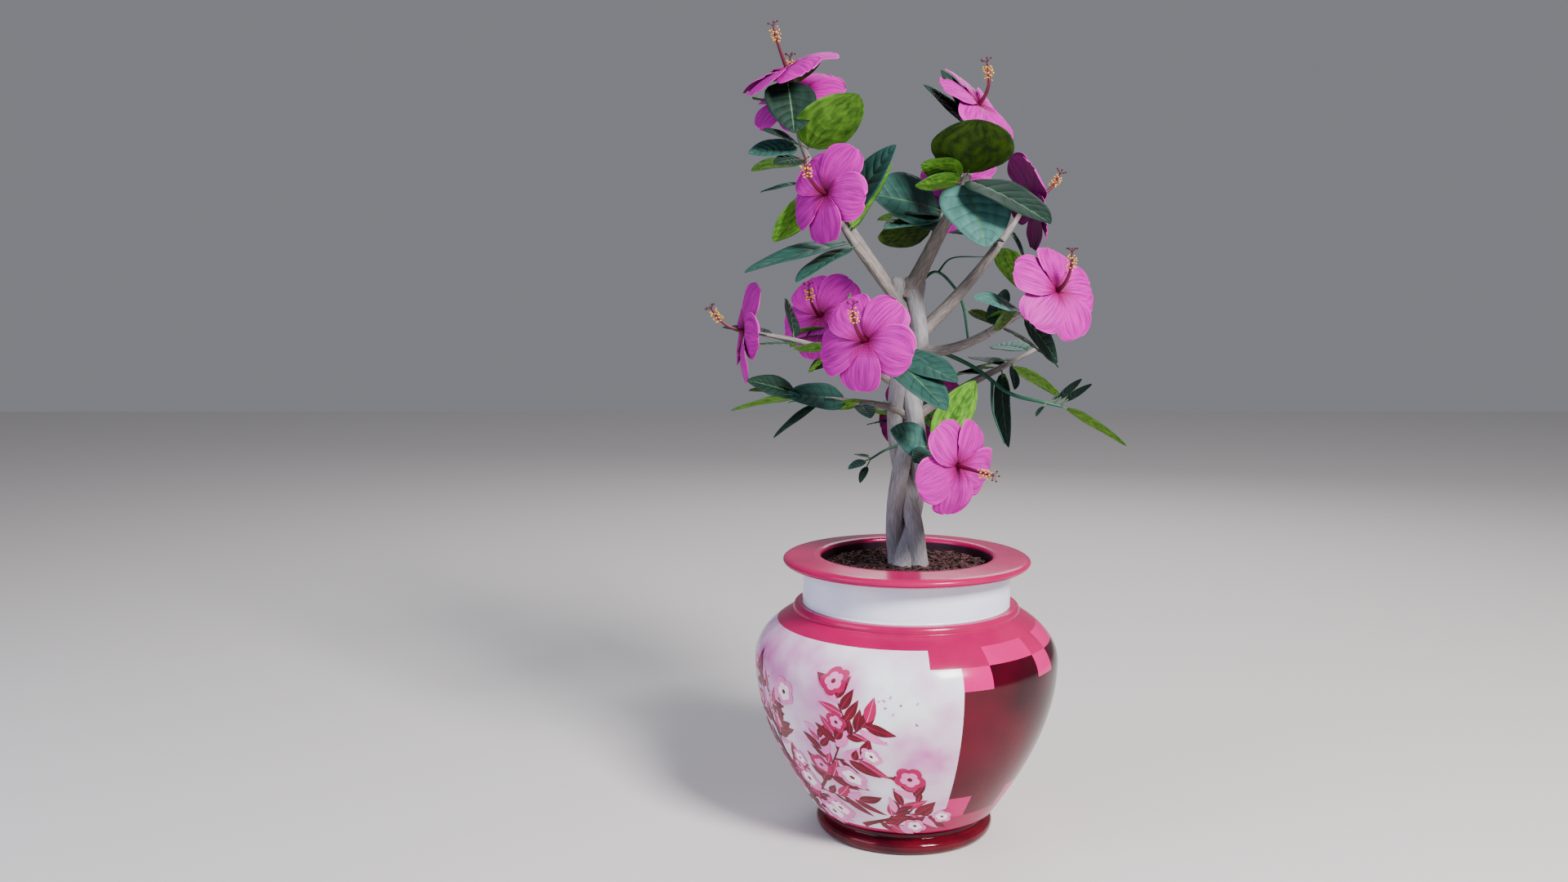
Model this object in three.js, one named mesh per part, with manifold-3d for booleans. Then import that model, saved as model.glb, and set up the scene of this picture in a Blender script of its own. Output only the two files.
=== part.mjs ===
// Potted hibiscus shrub: three plaited stems in a glazed jar, with boughs, leaf sprays and blooms.
// Millimetres, +Z up, +X to the right and +Y to the back. The origin is the middle of the jar's foot.

import * as THREE from 'three';
import { mergeVertices } from 'three/addons/utils/BufferGeometryUtils.js';
import Module from 'manifold-3d';

const wasm = await Module();
wasm.setup();

// Driving dimensions
const GAP = 0.3; // clearance that touching solids keep
const SMOOTH = 0.08; // faces this near to flat are merged after a boolean
const PLAIT_GAP = 0.5;
const PLAIT_SMOOTH = 0.2;
const WELD = 1e-4; // corners this near to each other are one
const ROUND = 30; // segments round the jar

const JAR_HEIGHT = 374;
const LIP_RADIUS = 167;
const MOUTH_RADIUS = 114;
const LIP_THICK = 15;
const NECK_RADIUS = 138.5;
const NECK_FOOT = 308;
const COLLAR_RADIUS = 151;
const BELLY_RADIUS = 202.5;
const BELLY_HEIGHT = 236;
const BELLY_FOOT_RADIUS = 122;
const BELLY_FOOT_HEIGHT = 33;
const BELLY_FLARE = [160, 88]; // control points of the belly's two curves, as radius and height
const BELLY_SWELL_HEIGHT = 158;
const SHOULDER_SWELL_HEIGHT = 262;
const SHOULDER_FALL = [181, 284];
const COLLAR_DROP = 9; // from the neck's foot to where the belly starts
const COLLAR_EDGE = 4;
const LIP_EDGE = 8; // the lip's rounded rim
const LIP_BULGE = 4;
const LIP_BEAD = 9;
const LIP_EASE = 3;
const MOUTH_EASE = 4;
const MOUTH_DEPTH = 21;
const THROAT_DEPTH = 30;
const FOOT_RADIUS = 119;
const FOOT_EDGE = 6;
const FOOT_BULGE = 4;
const FOOT_BEAD = 9;
const FOOT_WAIST = 108;
const FOOT_WAIST_HEIGHT = 20;
const FOOT_UNDERCUT = 3;
const WALL = 9;
const HOLLOW_FLARE = [154, 88];
const HOLLOW_HEEL = 22;
const HOLLOW_SHOULDER_HEIGHT = 282;
const HOLLOW_NECK_DROP = 6;
const OUTSIDE_STEPS = 4; // points on each curve of the jar
const INSIDE_STEPS = 3;
const FLOOR = 14;
const SOIL_TOP = 358;
const SOIL_DOME = 3;

const TRUNK_TOP = 740;
const STEMS = 3;
const PLAIT_PITCH = 430;
const PLAIT_SWAY = 16;
const PLAIT_DEPTH = 9;
const PLAIT_START = 98; // degrees
const STEM_RADIUS = [11.8, 10.5];
const STEM_BLUNT = 0.6; // share of the radius left at the stems' tops
const ROOT_FLARE = 3;
const FLARE_HEIGHT = 26;
const STEM_SIDES = 7;
const STEM_STEPS = 15;

const LIMB_SIDES = 7;
const LIMB_STEPS = 4;
const SHOOT_SIDES = 5;
const TWIG_SIDES = 4;
const SHOOT_LEAD = 0.45; // share of its length for which a shoot keeps its bough's direction
const SHOOT_TIP = 2.2;
const STALK = 14;
const STALK_RADIUS = 1.1;
const LEAF_THICK = 1.5;
const LEAF_DROOP = 0.1;
const LEAF_FOLD = 0.12;
const LEAF_OUTLINE = [[0, 0.06], [0.25, 0.85], [0.62, 0.9], [1, 0.03]]; // along, and share of its breadth
const LEAF_TIP = 0.1; // the blade is flat where it is narrower than this
const BLOOM_RADIUS = 64;
const PETALS = 5;
const PETAL_BREADTH = 62;
const PETAL_THICK = 1.6;
const PETAL_LIFT = [-0.06, 0.14]; // each petal's one side dips under the next and the other rises over it
const PETAL_LEAN = 0.1;
// Shares of the bloom's radius along, of the petal's breadth, and of the radius that it stands forward
const PETAL_OUTLINE = [[0.09, 0.13, 0.04], [0.38, 0.44, 0.08], [0.74, 0.93, 0.02], [1, 0.36, -0.08]];
const CUP_LENGTH = 14;
const CUP_INTO_BLOOM = 3;
const CUP_RADIUS = [3, 8];
const COLUMN_LENGTH = 58;
const COLUMN_KNEE = 0.5; // share of the column that runs straight out
const COLUMN_SHORTENS = 0.4;
const COLUMN_RISES = 0.75;
const COLUMN_RADIUS = 1.8;
const ANTHER_PLACE = 0.75;
const ANTHER_RADIUS = 5.5;

const SEED = 7;
const SEED_FACTOR = 16807;
const SEED_MODULUS = 2147483647;
const GOLDEN_ANGLE = 137.5;
const FILL_FAN = 150; // degrees over which the leaves of a spray's far side spread
const FILL_ALONG = [0.15, 0.9];
const FILL_LIFT = 30;
const FILL_LENGTH = [70, 95];
const FILL_ROLL = 40;
const FILL_BREADTH = [0.55, 0.7];

// The boughs. Each leaves the trunk's axis at the height root and runs along its heading, in degrees
// round from +X, for its reach, while it climbs its rise. A bow above 0 arches it upward.
const BOUGHS = {
  left_high: { root: 690, heading: 193, reach: 108, rise: 150, bow: 0, radius: [8.5, 6] },
  left_front: { root: 690, heading: 207, reach: 80, rise: 90, bow: 0, radius: [8, 5.5] },
  centre: { root: 715, heading: -30, reach: 60, rise: 110, bow: 4, radius: [11, 7.5] },
  back: { root: 705, heading: 49, reach: 60, rise: 95, bow: 0, radius: [6.5, 5] },
  right_high: { root: 655, heading: 8, reach: 118, rise: 125, bow: -8, radius: [10, 6] },
  right_front: { root: 645, heading: -26, reach: 110, rise: 25, bow: -10, radius: [8, 5.5] },
  right_low: { root: 550, heading: 17, reach: 92, rise: 50, bow: 2, radius: [7, 5] },
  left_mid: { root: 590, heading: 189, reach: 90, rise: 50, bow: 4, radius: [7.5, 5] },
  left_low: { root: 560, heading: 208, reach: 52, rise: 16, bow: 2, radius: [6, 4.5] },
  left_back: { root: 610, heading: 140, reach: 62, rise: 35, bow: 4, radius: [6.5, 4.5] },
  front: { root: 625, heading: 246, reach: 60, rise: 20, bow: 4, radius: [6.5, 4.5] },
  low_right: { root: 525, heading: -63, reach: 45, rise: -2, bow: 3, radius: [5.5, 4] },
  low_back: { root: 535, heading: 88, reach: 46, rise: 8, bow: 2, radius: [5.5, 4] },
};

// The sprays that grow on from the boughs. A shoot is heading, lift and length. A bloom is the place
// along the shoot, its stem's heading, lift and length, the heading and lift that it faces, its spin
// and how far its column bends upward. A leaf is the place along the shoot, its heading, lift,
// length with its stalk, roll about its rib, and breadth to length. Fill is a number of seeded
// leaves, the middle of the headings that they take, and their lift.
const SPRAYS = {
  left_high: {
    shoot: [176, 71, 173],
    blooms: [
      [1, 20, -40, 4, 208, 64, 10, 0.1],
      [0.5, 94, 47, 82, 238, 48, 30, 0.4],
    ],
    leaves: [
      [0.95, -80, -50, 92, 0, 0.85],
      [0.42, -50, 35, 120, 25, 0.72],
      [0.88, -5, 40, 50, 35, 0.45],
      [0.46, -130, 15, 75, 35, 0.5],
      [0.46, -150, -5, 78, 40, 0.55],
      [0.36, -130, -5, 65, 25, 0.6],
      [0.2, -130, 5, 70, -30, 0.6],
      [0.16, 170, -4, 78, 15, 0.45],
      [0.06, 165, -38, 92, -40, 0.6],
    ],
    fill: [2, 80, 15],
  },
  left_front: {
    shoot: [226, 49, 77],
    blooms: [[1, 238, 30, 10, 224, 12, 10, 0.6]],
    leaves: [
      [0.5, -35, 55, 120, -60, 0.62],
      [0.3, 20, 60, 105, 45, 0.6],
      [0.1, -160, -10, 150, 10, 0.5],
      [0.02, -140, -20, 110, 0, 0.5],
    ],
    fill: [1, 60, 40],
  },
  centre: {
    shoot: [17, 76, 131],
    blooms: [[1, 17, 76, 6, -34, 40, 20, 0.7]],
    leaves: [
      [0.38, -90, 32, 130, 5, 0.88],
      [0.34, -80, -40, 120, -5, 0.84],
      [0.36, -45, -20, 140, -10, 0.66],
      [0.32, -150, 0, 80, -35, 0.55],
      [0.36, -145, 15, 80, -40, 0.6],
      [0.8, 180, 47, 90, 30, 0.5],
      [0.85, -180, 62, 85, 40, 0.5],
    ],
    fill: [2, 60, 10],
  },
  back: {
    shoot: [63, 45, 78],
    blooms: [[1, 63, 30, 8, 240, 25, 0, 0.6]],
    leaves: [
      [0.5, -145, 12, 120, 58, 0.86],
      [0.36, -140, -5, 105, 15, 0.6],
      [0.4, -135, 5, 75, 20, 0.6],
      [0.08, -155, -5, 95, -60, 0.62],
    ],
    fill: [4, 90, -5],
  },
  right_high: {
    shoot: [29, 50, 77],
    blooms: [[1, 29, 40, 6, 10, 14, 15, 0.5]],
    leaves: [
      [0.2, -130, 5, 80, 30, 0.6],
      [0.1, 55, -40, 85, 0, 0.62],
      [0.4, 50, -40, 80, -60, 0.55],
    ],
    fill: [3, 95, 10],
  },
  right_front: {
    shoot: [-33, 31, 112],
    blooms: [[1, -150, -35, 8, -59, 24, 20, 0.7]],
    leaves: [
      [0.5, -140, 15, 90, 30, 0.6],
      [0.1, 75, 45, 75, 35, 0.62],
      [0.4, -125, -5, 70, -60, 0.62],
      [0.45, 30, -40, 95, -60, 0.62],
      [0.15, 25, -25, 110, -20, 0.5],
    ],
    fill: [1, 60, -20],
  },
  right_low: {
    shoot: [18, 25, 123],
    blooms: [],
    leaves: [
      [0.5, 25, -25, 100, 20, 0.3],
      [0.42, -95, -70, 110, -60, 0.4],
      [0.44, 115, 10, 85, 0, 0.55],
      [0.55, -90, -35, 55, 45, 0.5],
      [0.4, -70, -55, 60, 80, 0.45],
      [0.9, 60, 30, 80, 20, 0.55],
    ],
    fill: [4, 100, -5],
  },
  left_mid: {
    shoot: [185, 14, 124],
    blooms: [[1, 185, 10, 4, 192, 6, 10, 0.5]],
    leaves: [
      [0.55, 95, 45, 80, -55, 0.5],
      [0.1, -135, 10, 75, -25, 0.5],
      [0.02, -85, 60, 95, -60, 0.5],
    ],
    fill: [2, 110, 0],
  },
  left_low: {
    shoot: [194, 7, 118],
    blooms: [],
    leaves: [
      [0.85, -165, 20, 75, 40, 0.65],
      [0.3, -160, 10, 90, 40, 0.65],
      [0.8, -175, -5, 100, -20, 0.4],
      [0.6, -165, -30, 85, 5, 0.4],
      [0.05, -155, 0, 60, -40, 0.5],
      [0.2, -80, -10, 60, -5, 0.55],
    ],
    fill: [2, 110, 0],
  },
  left_back: {
    shoot: [133, 24, 96],
    blooms: [[1, 133, 25, 8, 238, 18, 0, 0.6]],
    leaves: [
      [0.3, 150, -25, 85, 45, 0.6],
      [0.5, 65, 50, 80, 25, 0.6],
    ],
    fill: [3, 100, -15],
  },
  front: {
    shoot: [248, 10, 104],
    blooms: [[1, 248, 10, 6, 238, 14, 0, 0.7]],
    leaves: [
      [0.35, -45, -30, 120, -10, 0.66],
      [0.1, -40, -14, 105, -20, 0.62],
    ],
    fill: [0, 0, 0],
  },
  low_right: {
    shoot: [-70, -10, 83],
    blooms: [[1, -67, -5, 6, -51, -6, 0, 0]],
    leaves: [
      [0.4, 15, 65, 105, 75, 0.66],
      [0.2, -140, 25, 75, 75, 0.74],
      [0.3, -115, 0, 70, 30, 0.6],
    ],
    fill: [1, 40, 0],
  },
  low_back: {
    shoot: [65, 3, 69],
    blooms: [[1, 65, 5, 6, 80, 0, 0, 0.6]],
    leaves: [],
    fill: [5, 90, 10],
  },
};

// The thin green shoots that spring from the trunk. A route starts inside the stems. A leaf is given
// as on a spray, and a fork is the place along the route and the two points that it runs through.
const VINES = {
  sprout_left: {
    route: [[-10, -4, 520], [-30, -12, 514], [-50, -20, 503]],
    radius: [1.8, 1.4],
    leaves: [
      [0.9, -150, -15, 40, 20, 0.6],
      [0.95, 120, 5, 40, 0, 0.6],
      [1, -126, -45, 38, 0, 0.5],
    ],
    forks: [],
  },
  vine_right: {
    route: [[4, 2, 655], [43, 20, 643], [92, 26, 620], [135, 8, 588], [177, -4, 577], [204, -4, 571]],
    radius: [3.2, 2.2],
    leaves: [
      [0.98, -36, -22, 106, 45, 0.24],
      [0.9, -45, 42, 58, 45, 0.24],
      [0.97, -41, 36, 58, 45, 0.24],
      [0.84, -120, -16, 42, -20, 0.35],
      [0.86, 54, 20, 44, 20, 0.35],
    ],
    forks: [[0.5, [112, -6, 566], [127, -12, 522]]],
  },
  vine_upper: {
    route: [[6, 12, 722], [38, 42, 748], [66, 60, 728], [80, 64, 700], [87, 62, 655]],
    radius: [2.4, 1.6],
    leaves: [
      [0.75, 30, -20, 60, 20, 0.5],
      [0.97, -60, -50, 55, 20, 0.45],
    ],
    forks: [[0.3, [62, 50, 766], [105, 54, 768]]],
  },
};

// Solids and booleans
const UP = new THREE.Vector3(0, 0, 1);
const point = ([x, y, z]) => new THREE.Vector3(x, y, z);

function wayOf(heading, lift) {
  const round = THREE.MathUtils.degToRad(heading);
  const climb = THREE.MathUtils.degToRad(lift);
  return point([Math.cos(round) * Math.cos(climb), Math.sin(round) * Math.cos(climb), Math.sin(climb)]);
}

function solidFrom(geometry) {
  const plain = geometry.clone();
  plain.deleteAttribute('normal');
  plain.deleteAttribute('uv');
  const merged = mergeVertices(plain, WELD);
  return new wasm.Manifold(new wasm.Mesh({
    numProp: 3,
    vertProperties: new Float32Array(merged.attributes.position.array),
    triVerts: new Uint32Array(merged.index.array),
  }));
}

function geometryFrom(solid) {
  const mesh = solid.getMesh();
  const geometry = new THREE.BufferGeometry();
  geometry.setAttribute('position', new THREE.BufferAttribute(new Float32Array(mesh.vertProperties), 3));
  geometry.setIndex(new THREE.BufferAttribute(new Uint32Array(mesh.triVerts), 1));
  geometry.computeVertexNormals();
  return geometry;
}

// A closed skin over rings of corners, all with the same number of corners, with flat ends.
function loft(rings) {
  const sides = rings[0].length;
  const last = (rings.length - 1) * sides;
  const faces = [];
  for (let ring = 0; ring < rings.length - 1; ring++) {
    for (let side = 0; side < sides; side++) {
      const here = ring * sides + side;
      const beside = ring * sides + (side + 1) % sides;
      faces.push(here, beside, beside + sides, here, beside + sides, here + sides);
    }
  }
  for (let side = 1; side < sides - 1; side++) {
    faces.push(0, side + 1, side, last, last + side, last + side + 1);
  }
  const geometry = new THREE.BufferGeometry().setFromPoints(rings.flat());
  geometry.setIndex(faces);
  return solidFrom(geometry);
}

// A limb along a curve, with grow added to its radius and to both its ends.
function limb(curve, radiusAt, steps, sides, grow = 0) {
  const frames = curve.computeFrenetFrames(steps, false);
  const rings = [];
  for (let step = 0; step <= steps; step++) {
    const beyond = grow * (Number(step === steps) - Number(step === 0));
    const centre = curve.getPointAt(step / steps).addScaledVector(frames.tangents[step], beyond);
    const radius = radiusAt(step / steps) + grow;
    const ring = [];
    for (let side = 0; side < sides; side++) {
      const turn = 2 * Math.PI * side / sides;
      ring.push(centre.clone()
        .addScaledVector(frames.normals[step], radius * Math.cos(turn))
        .addScaledVector(frames.binormals[step], radius * Math.sin(turn)));
    }
    rings.push(ring);
  }
  return loft(rings);
}

const taper = ([root, tip]) => (along) => THREE.MathUtils.lerp(root, tip, along);

function largest(solid) {
  return solid.decompose().reduce((best, piece) => (piece.volume() > best.volume() ? piece : best));
}

const joined = (solids) => solids.reduce((whole, piece) => whole.add(piece)).simplify(SMOOTH);
const without = (solid, cutters) => cutters.reduce((rest, cutter) => rest.subtract(cutter), solid);
const touches = (solid, others) => others.some((other) => solid.minGap(other, 2 * GAP) < GAP);

// The jar and its soil
function turned(outline) {
  return new THREE.LatheGeometry(outline, ROUND).rotateX(Math.PI / 2);
}

// The jar's inner face, moved inward by shrink
function jarInside(shrink) {
  const belly = BELLY_RADIUS - WALL - shrink;
  const throat = NECK_RADIUS - WALL - shrink;
  const inside = new THREE.Path();
  inside.moveTo(0, FLOOR + shrink);
  inside.lineTo(BELLY_FOOT_RADIUS - WALL - shrink, FLOOR + HOLLOW_HEEL + shrink);
  inside.bezierCurveTo(
    HOLLOW_FLARE[0] - shrink, HOLLOW_FLARE[1],
    belly, BELLY_SWELL_HEIGHT,
    belly, BELLY_HEIGHT,
  );
  inside.quadraticCurveTo(
    belly, HOLLOW_SHOULDER_HEIGHT - shrink,
    throat, NECK_FOOT - HOLLOW_NECK_DROP - shrink,
  );
  inside.lineTo(throat, JAR_HEIGHT - THROAT_DEPTH - shrink);
  inside.lineTo(MOUTH_RADIUS - shrink, JAR_HEIGHT - MOUTH_DEPTH - shrink);
  return inside;
}

function jar() {
  const underLip = JAR_HEIGHT - LIP_THICK;
  const rim = LIP_RADIUS - LIP_EDGE;
  const outline = new THREE.Path();
  outline.moveTo(0, 0);
  outline.lineTo(FOOT_RADIUS - FOOT_EDGE, 0);
  outline.quadraticCurveTo(FOOT_RADIUS + FOOT_BULGE, FOOT_BEAD, FOOT_WAIST, FOOT_WAIST_HEIGHT);
  outline.lineTo(FOOT_WAIST, BELLY_FOOT_HEIGHT - FOOT_UNDERCUT);
  outline.lineTo(BELLY_FOOT_RADIUS, BELLY_FOOT_HEIGHT);
  outline.bezierCurveTo(...BELLY_FLARE, BELLY_RADIUS, BELLY_SWELL_HEIGHT, BELLY_RADIUS, BELLY_HEIGHT);
  outline.bezierCurveTo(
    BELLY_RADIUS, SHOULDER_SWELL_HEIGHT,
    ...SHOULDER_FALL,
    COLLAR_RADIUS, NECK_FOOT - COLLAR_DROP,
  );
  outline.lineTo(COLLAR_RADIUS - COLLAR_EDGE, NECK_FOOT);
  outline.lineTo(NECK_RADIUS, NECK_FOOT);
  outline.lineTo(NECK_RADIUS, underLip);
  outline.lineTo(rim, underLip);
  outline.quadraticCurveTo(LIP_RADIUS + LIP_BULGE, JAR_HEIGHT - LIP_BEAD, rim, JAR_HEIGHT - LIP_EASE);
  outline.lineTo(MOUTH_RADIUS + MOUTH_EASE, JAR_HEIGHT);
  outline.lineTo(MOUTH_RADIUS, JAR_HEIGHT - MOUTH_EASE);
  return turned([...outline.getPoints(OUTSIDE_STEPS), ...jarInside(0).getPoints(INSIDE_STEPS).reverse()]);
}

function soil() {
  const outline = jarInside(GAP);
  outline.lineTo(MOUTH_RADIUS - GAP, SOIL_TOP - SOIL_DOME);
  outline.lineTo(0, SOIL_TOP);
  return turned(outline.getPoints(INSIDE_STEPS));
}

// The three plaited stems, cut flat at the soil
function plaitCurve(stem) {
  const first = SOIL_TOP - FLARE_HEIGHT;
  const centres = [];
  for (let step = 0; step <= STEM_STEPS; step++) {
    const height = THREE.MathUtils.lerp(first, TRUNK_TOP, step / STEM_STEPS);
    const phase = THREE.MathUtils.degToRad(PLAIT_START + 360 * stem / STEMS);
    const turn = 2 * Math.PI * (height - SOIL_TOP) / PLAIT_PITCH + phase;
    centres.push(point([PLAIT_SWAY * Math.sin(turn), PLAIT_DEPTH * Math.sin(2 * turn), height]));
  }
  return new THREE.CatmullRomCurve3(centres);
}

function plaitedStem(stem, grow) {
  const rootward = FLARE_HEIGHT / (TRUNK_TOP - SOIL_TOP);
  const radiusAt = (along) => {
    const flare = ROOT_FLARE * Math.max(0, 1 - along / (2 * rootward));
    const blunt = along === 1 ? STEM_BLUNT : 1;
    return taper(STEM_RADIUS)(along) * blunt + flare;
  };
  return limb(plaitCurve(stem), radiusAt, STEM_STEPS, STEM_SIDES, grow);
}

function plait() {
  const ground = new THREE.BoxGeometry(2 * MOUTH_RADIUS, 2 * MOUTH_RADIUS, 2 * FLARE_HEIGHT)
    .translate(0, 0, SOIL_TOP + GAP - FLARE_HEIGHT);
  const stems = [];
  const guards = [];
  for (let stem = 0; stem < STEMS; stem++) {
    const cut = without(plaitedStem(stem, 0), [solidFrom(ground), ...guards]);
    stems.push(largest(cut).simplify(PLAIT_SMOOTH));
    guards.push(plaitedStem(stem, PLAIT_GAP));
  }
  return { stems, guards };
}

// The boughs and the shoots that grow on from them
function boughCurve({ root, heading, reach, rise, bow }) {
  const from = point([0, 0, root]);
  const to = from.clone().addScaledVector(wayOf(heading, 0), reach).addScaledVector(UP, rise);
  const middle = from.clone().lerp(to, 0.5).addScaledVector(UP, 2 * bow);
  return new THREE.QuadraticBezierCurve3(from, middle, to);
}

function shootCurve(bough, [heading, lift, length]) {
  const way = bough.getTangent(1);
  const from = bough.getPoint(1).addScaledVector(way, GAP);
  const middle = from.clone().addScaledVector(way, SHOOT_LEAD * length);
  const to = bough.getPoint(1).addScaledVector(wayOf(heading, lift), length);
  return new THREE.QuadraticBezierCurve3(from, middle, to);
}

// A leaf: a thin stalk, then a blade folded a little along its rib and drooping to its pointed tip.
function leaf(from, [, heading, lift, length, roll, breadth]) {
  const way = wayOf(heading, lift);
  const level = new THREE.Vector3().crossVectors(way, UP).normalize();
  const side = level.clone().applyAxisAngle(way, -THREE.MathUtils.degToRad(roll));
  const face = new THREE.Vector3().crossVectors(side, way);
  const blade = length - STALK;
  const ring = (centre, half, thick, fold) => [
    centre.clone().addScaledVector(face, thick),
    centre.clone().addScaledVector(side, half).addScaledVector(face, fold),
    centre.clone().addScaledVector(face, -thick),
    centre.clone().addScaledVector(side, -half).addScaledVector(face, fold),
  ];
  const rings = [ring(from, STALK_RADIUS, STALK_RADIUS, 0)];
  for (const [along, wide] of LEAF_OUTLINE) {
    const centre = from.clone()
      .addScaledVector(way, STALK + blade * along)
      .addScaledVector(face, -LEAF_DROOP * blade * along ** 2);
    const half = Math.max(blade * breadth * wide / 2, STALK_RADIUS);
    rings.push(ring(centre, half, LEAF_THICK / 2, LEAF_FOLD * half * Number(wide > LEAF_TIP)));
  }
  return loft(rings);
}

// A bloom: five petals round the end of its stem, a cup behind them and a bent column with its knob
function petal(centre, facing, out) {
  const across = new THREE.Vector3().crossVectors(facing, out);
  const lifted = facing.clone().addScaledVector(across, PETAL_LEAN);
  const [dips, rises] = PETAL_LIFT;
  return loft(PETAL_OUTLINE.map(([along, wide, forward]) => {
    const middle = centre.clone()
      .addScaledVector(out, BLOOM_RADIUS * along)
      .addScaledVector(facing, BLOOM_RADIUS * forward);
    const half = PETAL_BREADTH * wide / 2;
    return [
      middle.clone().addScaledVector(facing, PETAL_THICK / 2),
      middle.clone().addScaledVector(across, -half).addScaledVector(lifted, dips * half),
      middle.clone().addScaledVector(facing, -PETAL_THICK / 2),
      middle.clone().addScaledVector(across, half).addScaledVector(lifted, rises * half),
    ];
  }));
}

function bloom(centre, facing, spin, bend) {
  const right = new THREE.Vector3().crossVectors(facing, UP).normalize();
  const down = new THREE.Vector3().crossVectors(facing, right);
  const parts = [];
  for (let number = 0; number < PETALS; number++) {
    const turn = THREE.MathUtils.degToRad(spin + 360 * number / PETALS);
    parts.push(petal(centre, facing, down.clone().applyAxisAngle(facing, turn)));
  }
  const heel = centre.clone().addScaledVector(facing, -CUP_LENGTH);
  const cup = new THREE.LineCurve3(heel, centre.clone().addScaledVector(facing, CUP_INTO_BLOOM));
  parts.push(limb(cup, taper(CUP_RADIUS), 1, SHOOT_SIDES));
  const end = centre.clone()
    .addScaledVector(facing, COLUMN_LENGTH * (1 - COLUMN_SHORTENS * bend))
    .addScaledVector(down, -COLUMN_LENGTH * COLUMN_RISES * bend);
  const knee = centre.clone().addScaledVector(facing, COLUMN_LENGTH * COLUMN_KNEE);
  const column = new THREE.QuadraticBezierCurve3(centre, knee, end);
  const radiusAt = (along) => (along === ANTHER_PLACE ? ANTHER_RADIUS : COLUMN_RADIUS);
  parts.push(limb(column, radiusAt, LIMB_STEPS, TWIG_SIDES));
  return joined(parts);
}

// Seeded numbers from 0 to 1 for the leaves that fill the far side
function seeded(start) {
  let state = start;
  return () => {
    state = (state * SEED_FACTOR) % SEED_MODULUS;
    return state / SEED_MODULUS;
  };
}

function fillLeaves([count, middle, lift], random) {
  return Array.from({ length: count }, (_, index) => {
    const fan = ((index + 1) * GOLDEN_ANGLE) % FILL_FAN - FILL_FAN / 2;
    return [
      THREE.MathUtils.lerp(...FILL_ALONG, (index + 0.5) / count),
      middle + fan,
      lift + FILL_LIFT * (random() - 0.5),
      THREE.MathUtils.lerp(...FILL_LENGTH, random()),
      FILL_ROLL * (random() - 0.5),
      THREE.MathUtils.lerp(...FILL_BREADTH, random()),
    ];
  });
}

// A spray or shoot without its leaves, the curve that carries them, and their rows
function spray(name, { shoot, blooms, leaves, fill }, bough, random) {
  const curve = shootCurve(bough, shoot);
  const parts = [limb(curve, taper([BOUGHS[name].radius[1], SHOOT_TIP]), LIMB_STEPS, SHOOT_SIDES)];
  for (const [along, heading, lift, length, faceHeading, faceLift, spin, bend] of blooms) {
    const from = curve.getPoint(along);
    const centre = from.clone().addScaledVector(wayOf(heading, lift), length);
    parts.push(limb(new THREE.LineCurve3(from, centre), () => SHOOT_TIP, 1, TWIG_SIDES));
    parts.push(bloom(centre, wayOf(faceHeading, faceLift), spin, bend));
  }
  return { curve, solid: joined(parts), leaves: [...leaves, ...fillLeaves(fill, random)] };
}

function vine({ route, radius, leaves, forks }, guards) {
  const curve = new THREE.CatmullRomCurve3(route.map(point));
  const parts = [largest(without(limb(curve, taper(radius), 2 * route.length, TWIG_SIDES), guards))];
  for (const [along, ...rest] of forks) {
    const fork = new THREE.CatmullRomCurve3([curve.getPoint(along), ...rest.map(point)]);
    parts.push(limb(fork, () => radius[1], LIMB_STEPS, TWIG_SIDES));
  }
  return { curve, solid: joined(parts), leaves };
}

// The mass with those of its leaves that keep clear of everything round it
function leafy({ curve, solid, leaves }, others) {
  const clear = leaves
    .map((row) => leaf(curve.getPoint(row[0]), row))
    .filter((blade) => !touches(blade, others));
  return joined([solid, ...clear]);
}

// The finishes
const GLAZE = { color: 0xb0184a, roughness: 0.15, metalness: 0 };
const MULCH = { color: 0x6b3a32, roughness: 0.95, metalness: 0 };
const BARK = { color: 0x98918a, roughness: 0.85, metalness: 0 };
const FOLIAGE = { color: 0x2f6a4c, roughness: 0.5, metalness: 0 };

// The whole plant
const plant = new THREE.Group();

function place(name, geometry, finish) {
  const mesh = new THREE.Mesh(geometry, new THREE.MeshStandardMaterial(finish));
  mesh.name = name;
  plant.add(mesh);
}

place('pot', jar(), GLAZE);
place('soil', soil(), MULCH);

const { stems, guards } = plait();
stems.forEach((stem, index) => place(`stem_${index + 1}`, geometryFrom(stem), BARK));

const wood = [...stems];
const boughLines = {};
for (const [name, sizes] of Object.entries(BOUGHS)) {
  const curve = boughCurve(sizes);
  const bough = largest(without(limb(curve, taper(sizes.radius), LIMB_STEPS, LIMB_SIDES), guards));
  place(`bough_${name}`, geometryFrom(bough), BARK);
  guards.push(limb(curve, taper(sizes.radius), LIMB_STEPS, LIMB_SIDES, GAP));
  wood.push(bough);
  boughLines[name] = curve;
}

const random = seeded(SEED);
const masses = [];
for (const [name, parts] of Object.entries(SPRAYS)) {
  masses.push({ name: `spray_${name}`, ...spray(name, parts, boughLines[name], random) });
}
for (const [name, parts] of Object.entries(VINES)) {
  masses.push({ name, ...vine(parts, guards) });
}
for (const mass of masses) {
  const others = masses.filter((other) => other !== mass).map((other) => other.solid);
  mass.solid = leafy(mass, [...wood, ...others]);
  place(mass.name, geometryFrom(mass.solid), FOLIAGE);
}

export default plant;
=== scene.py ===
import itertools
import math
from collections import namedtuple
import bpy
import numpy as np
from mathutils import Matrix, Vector
from mathutils.bvhtree import BVHTree


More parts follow.
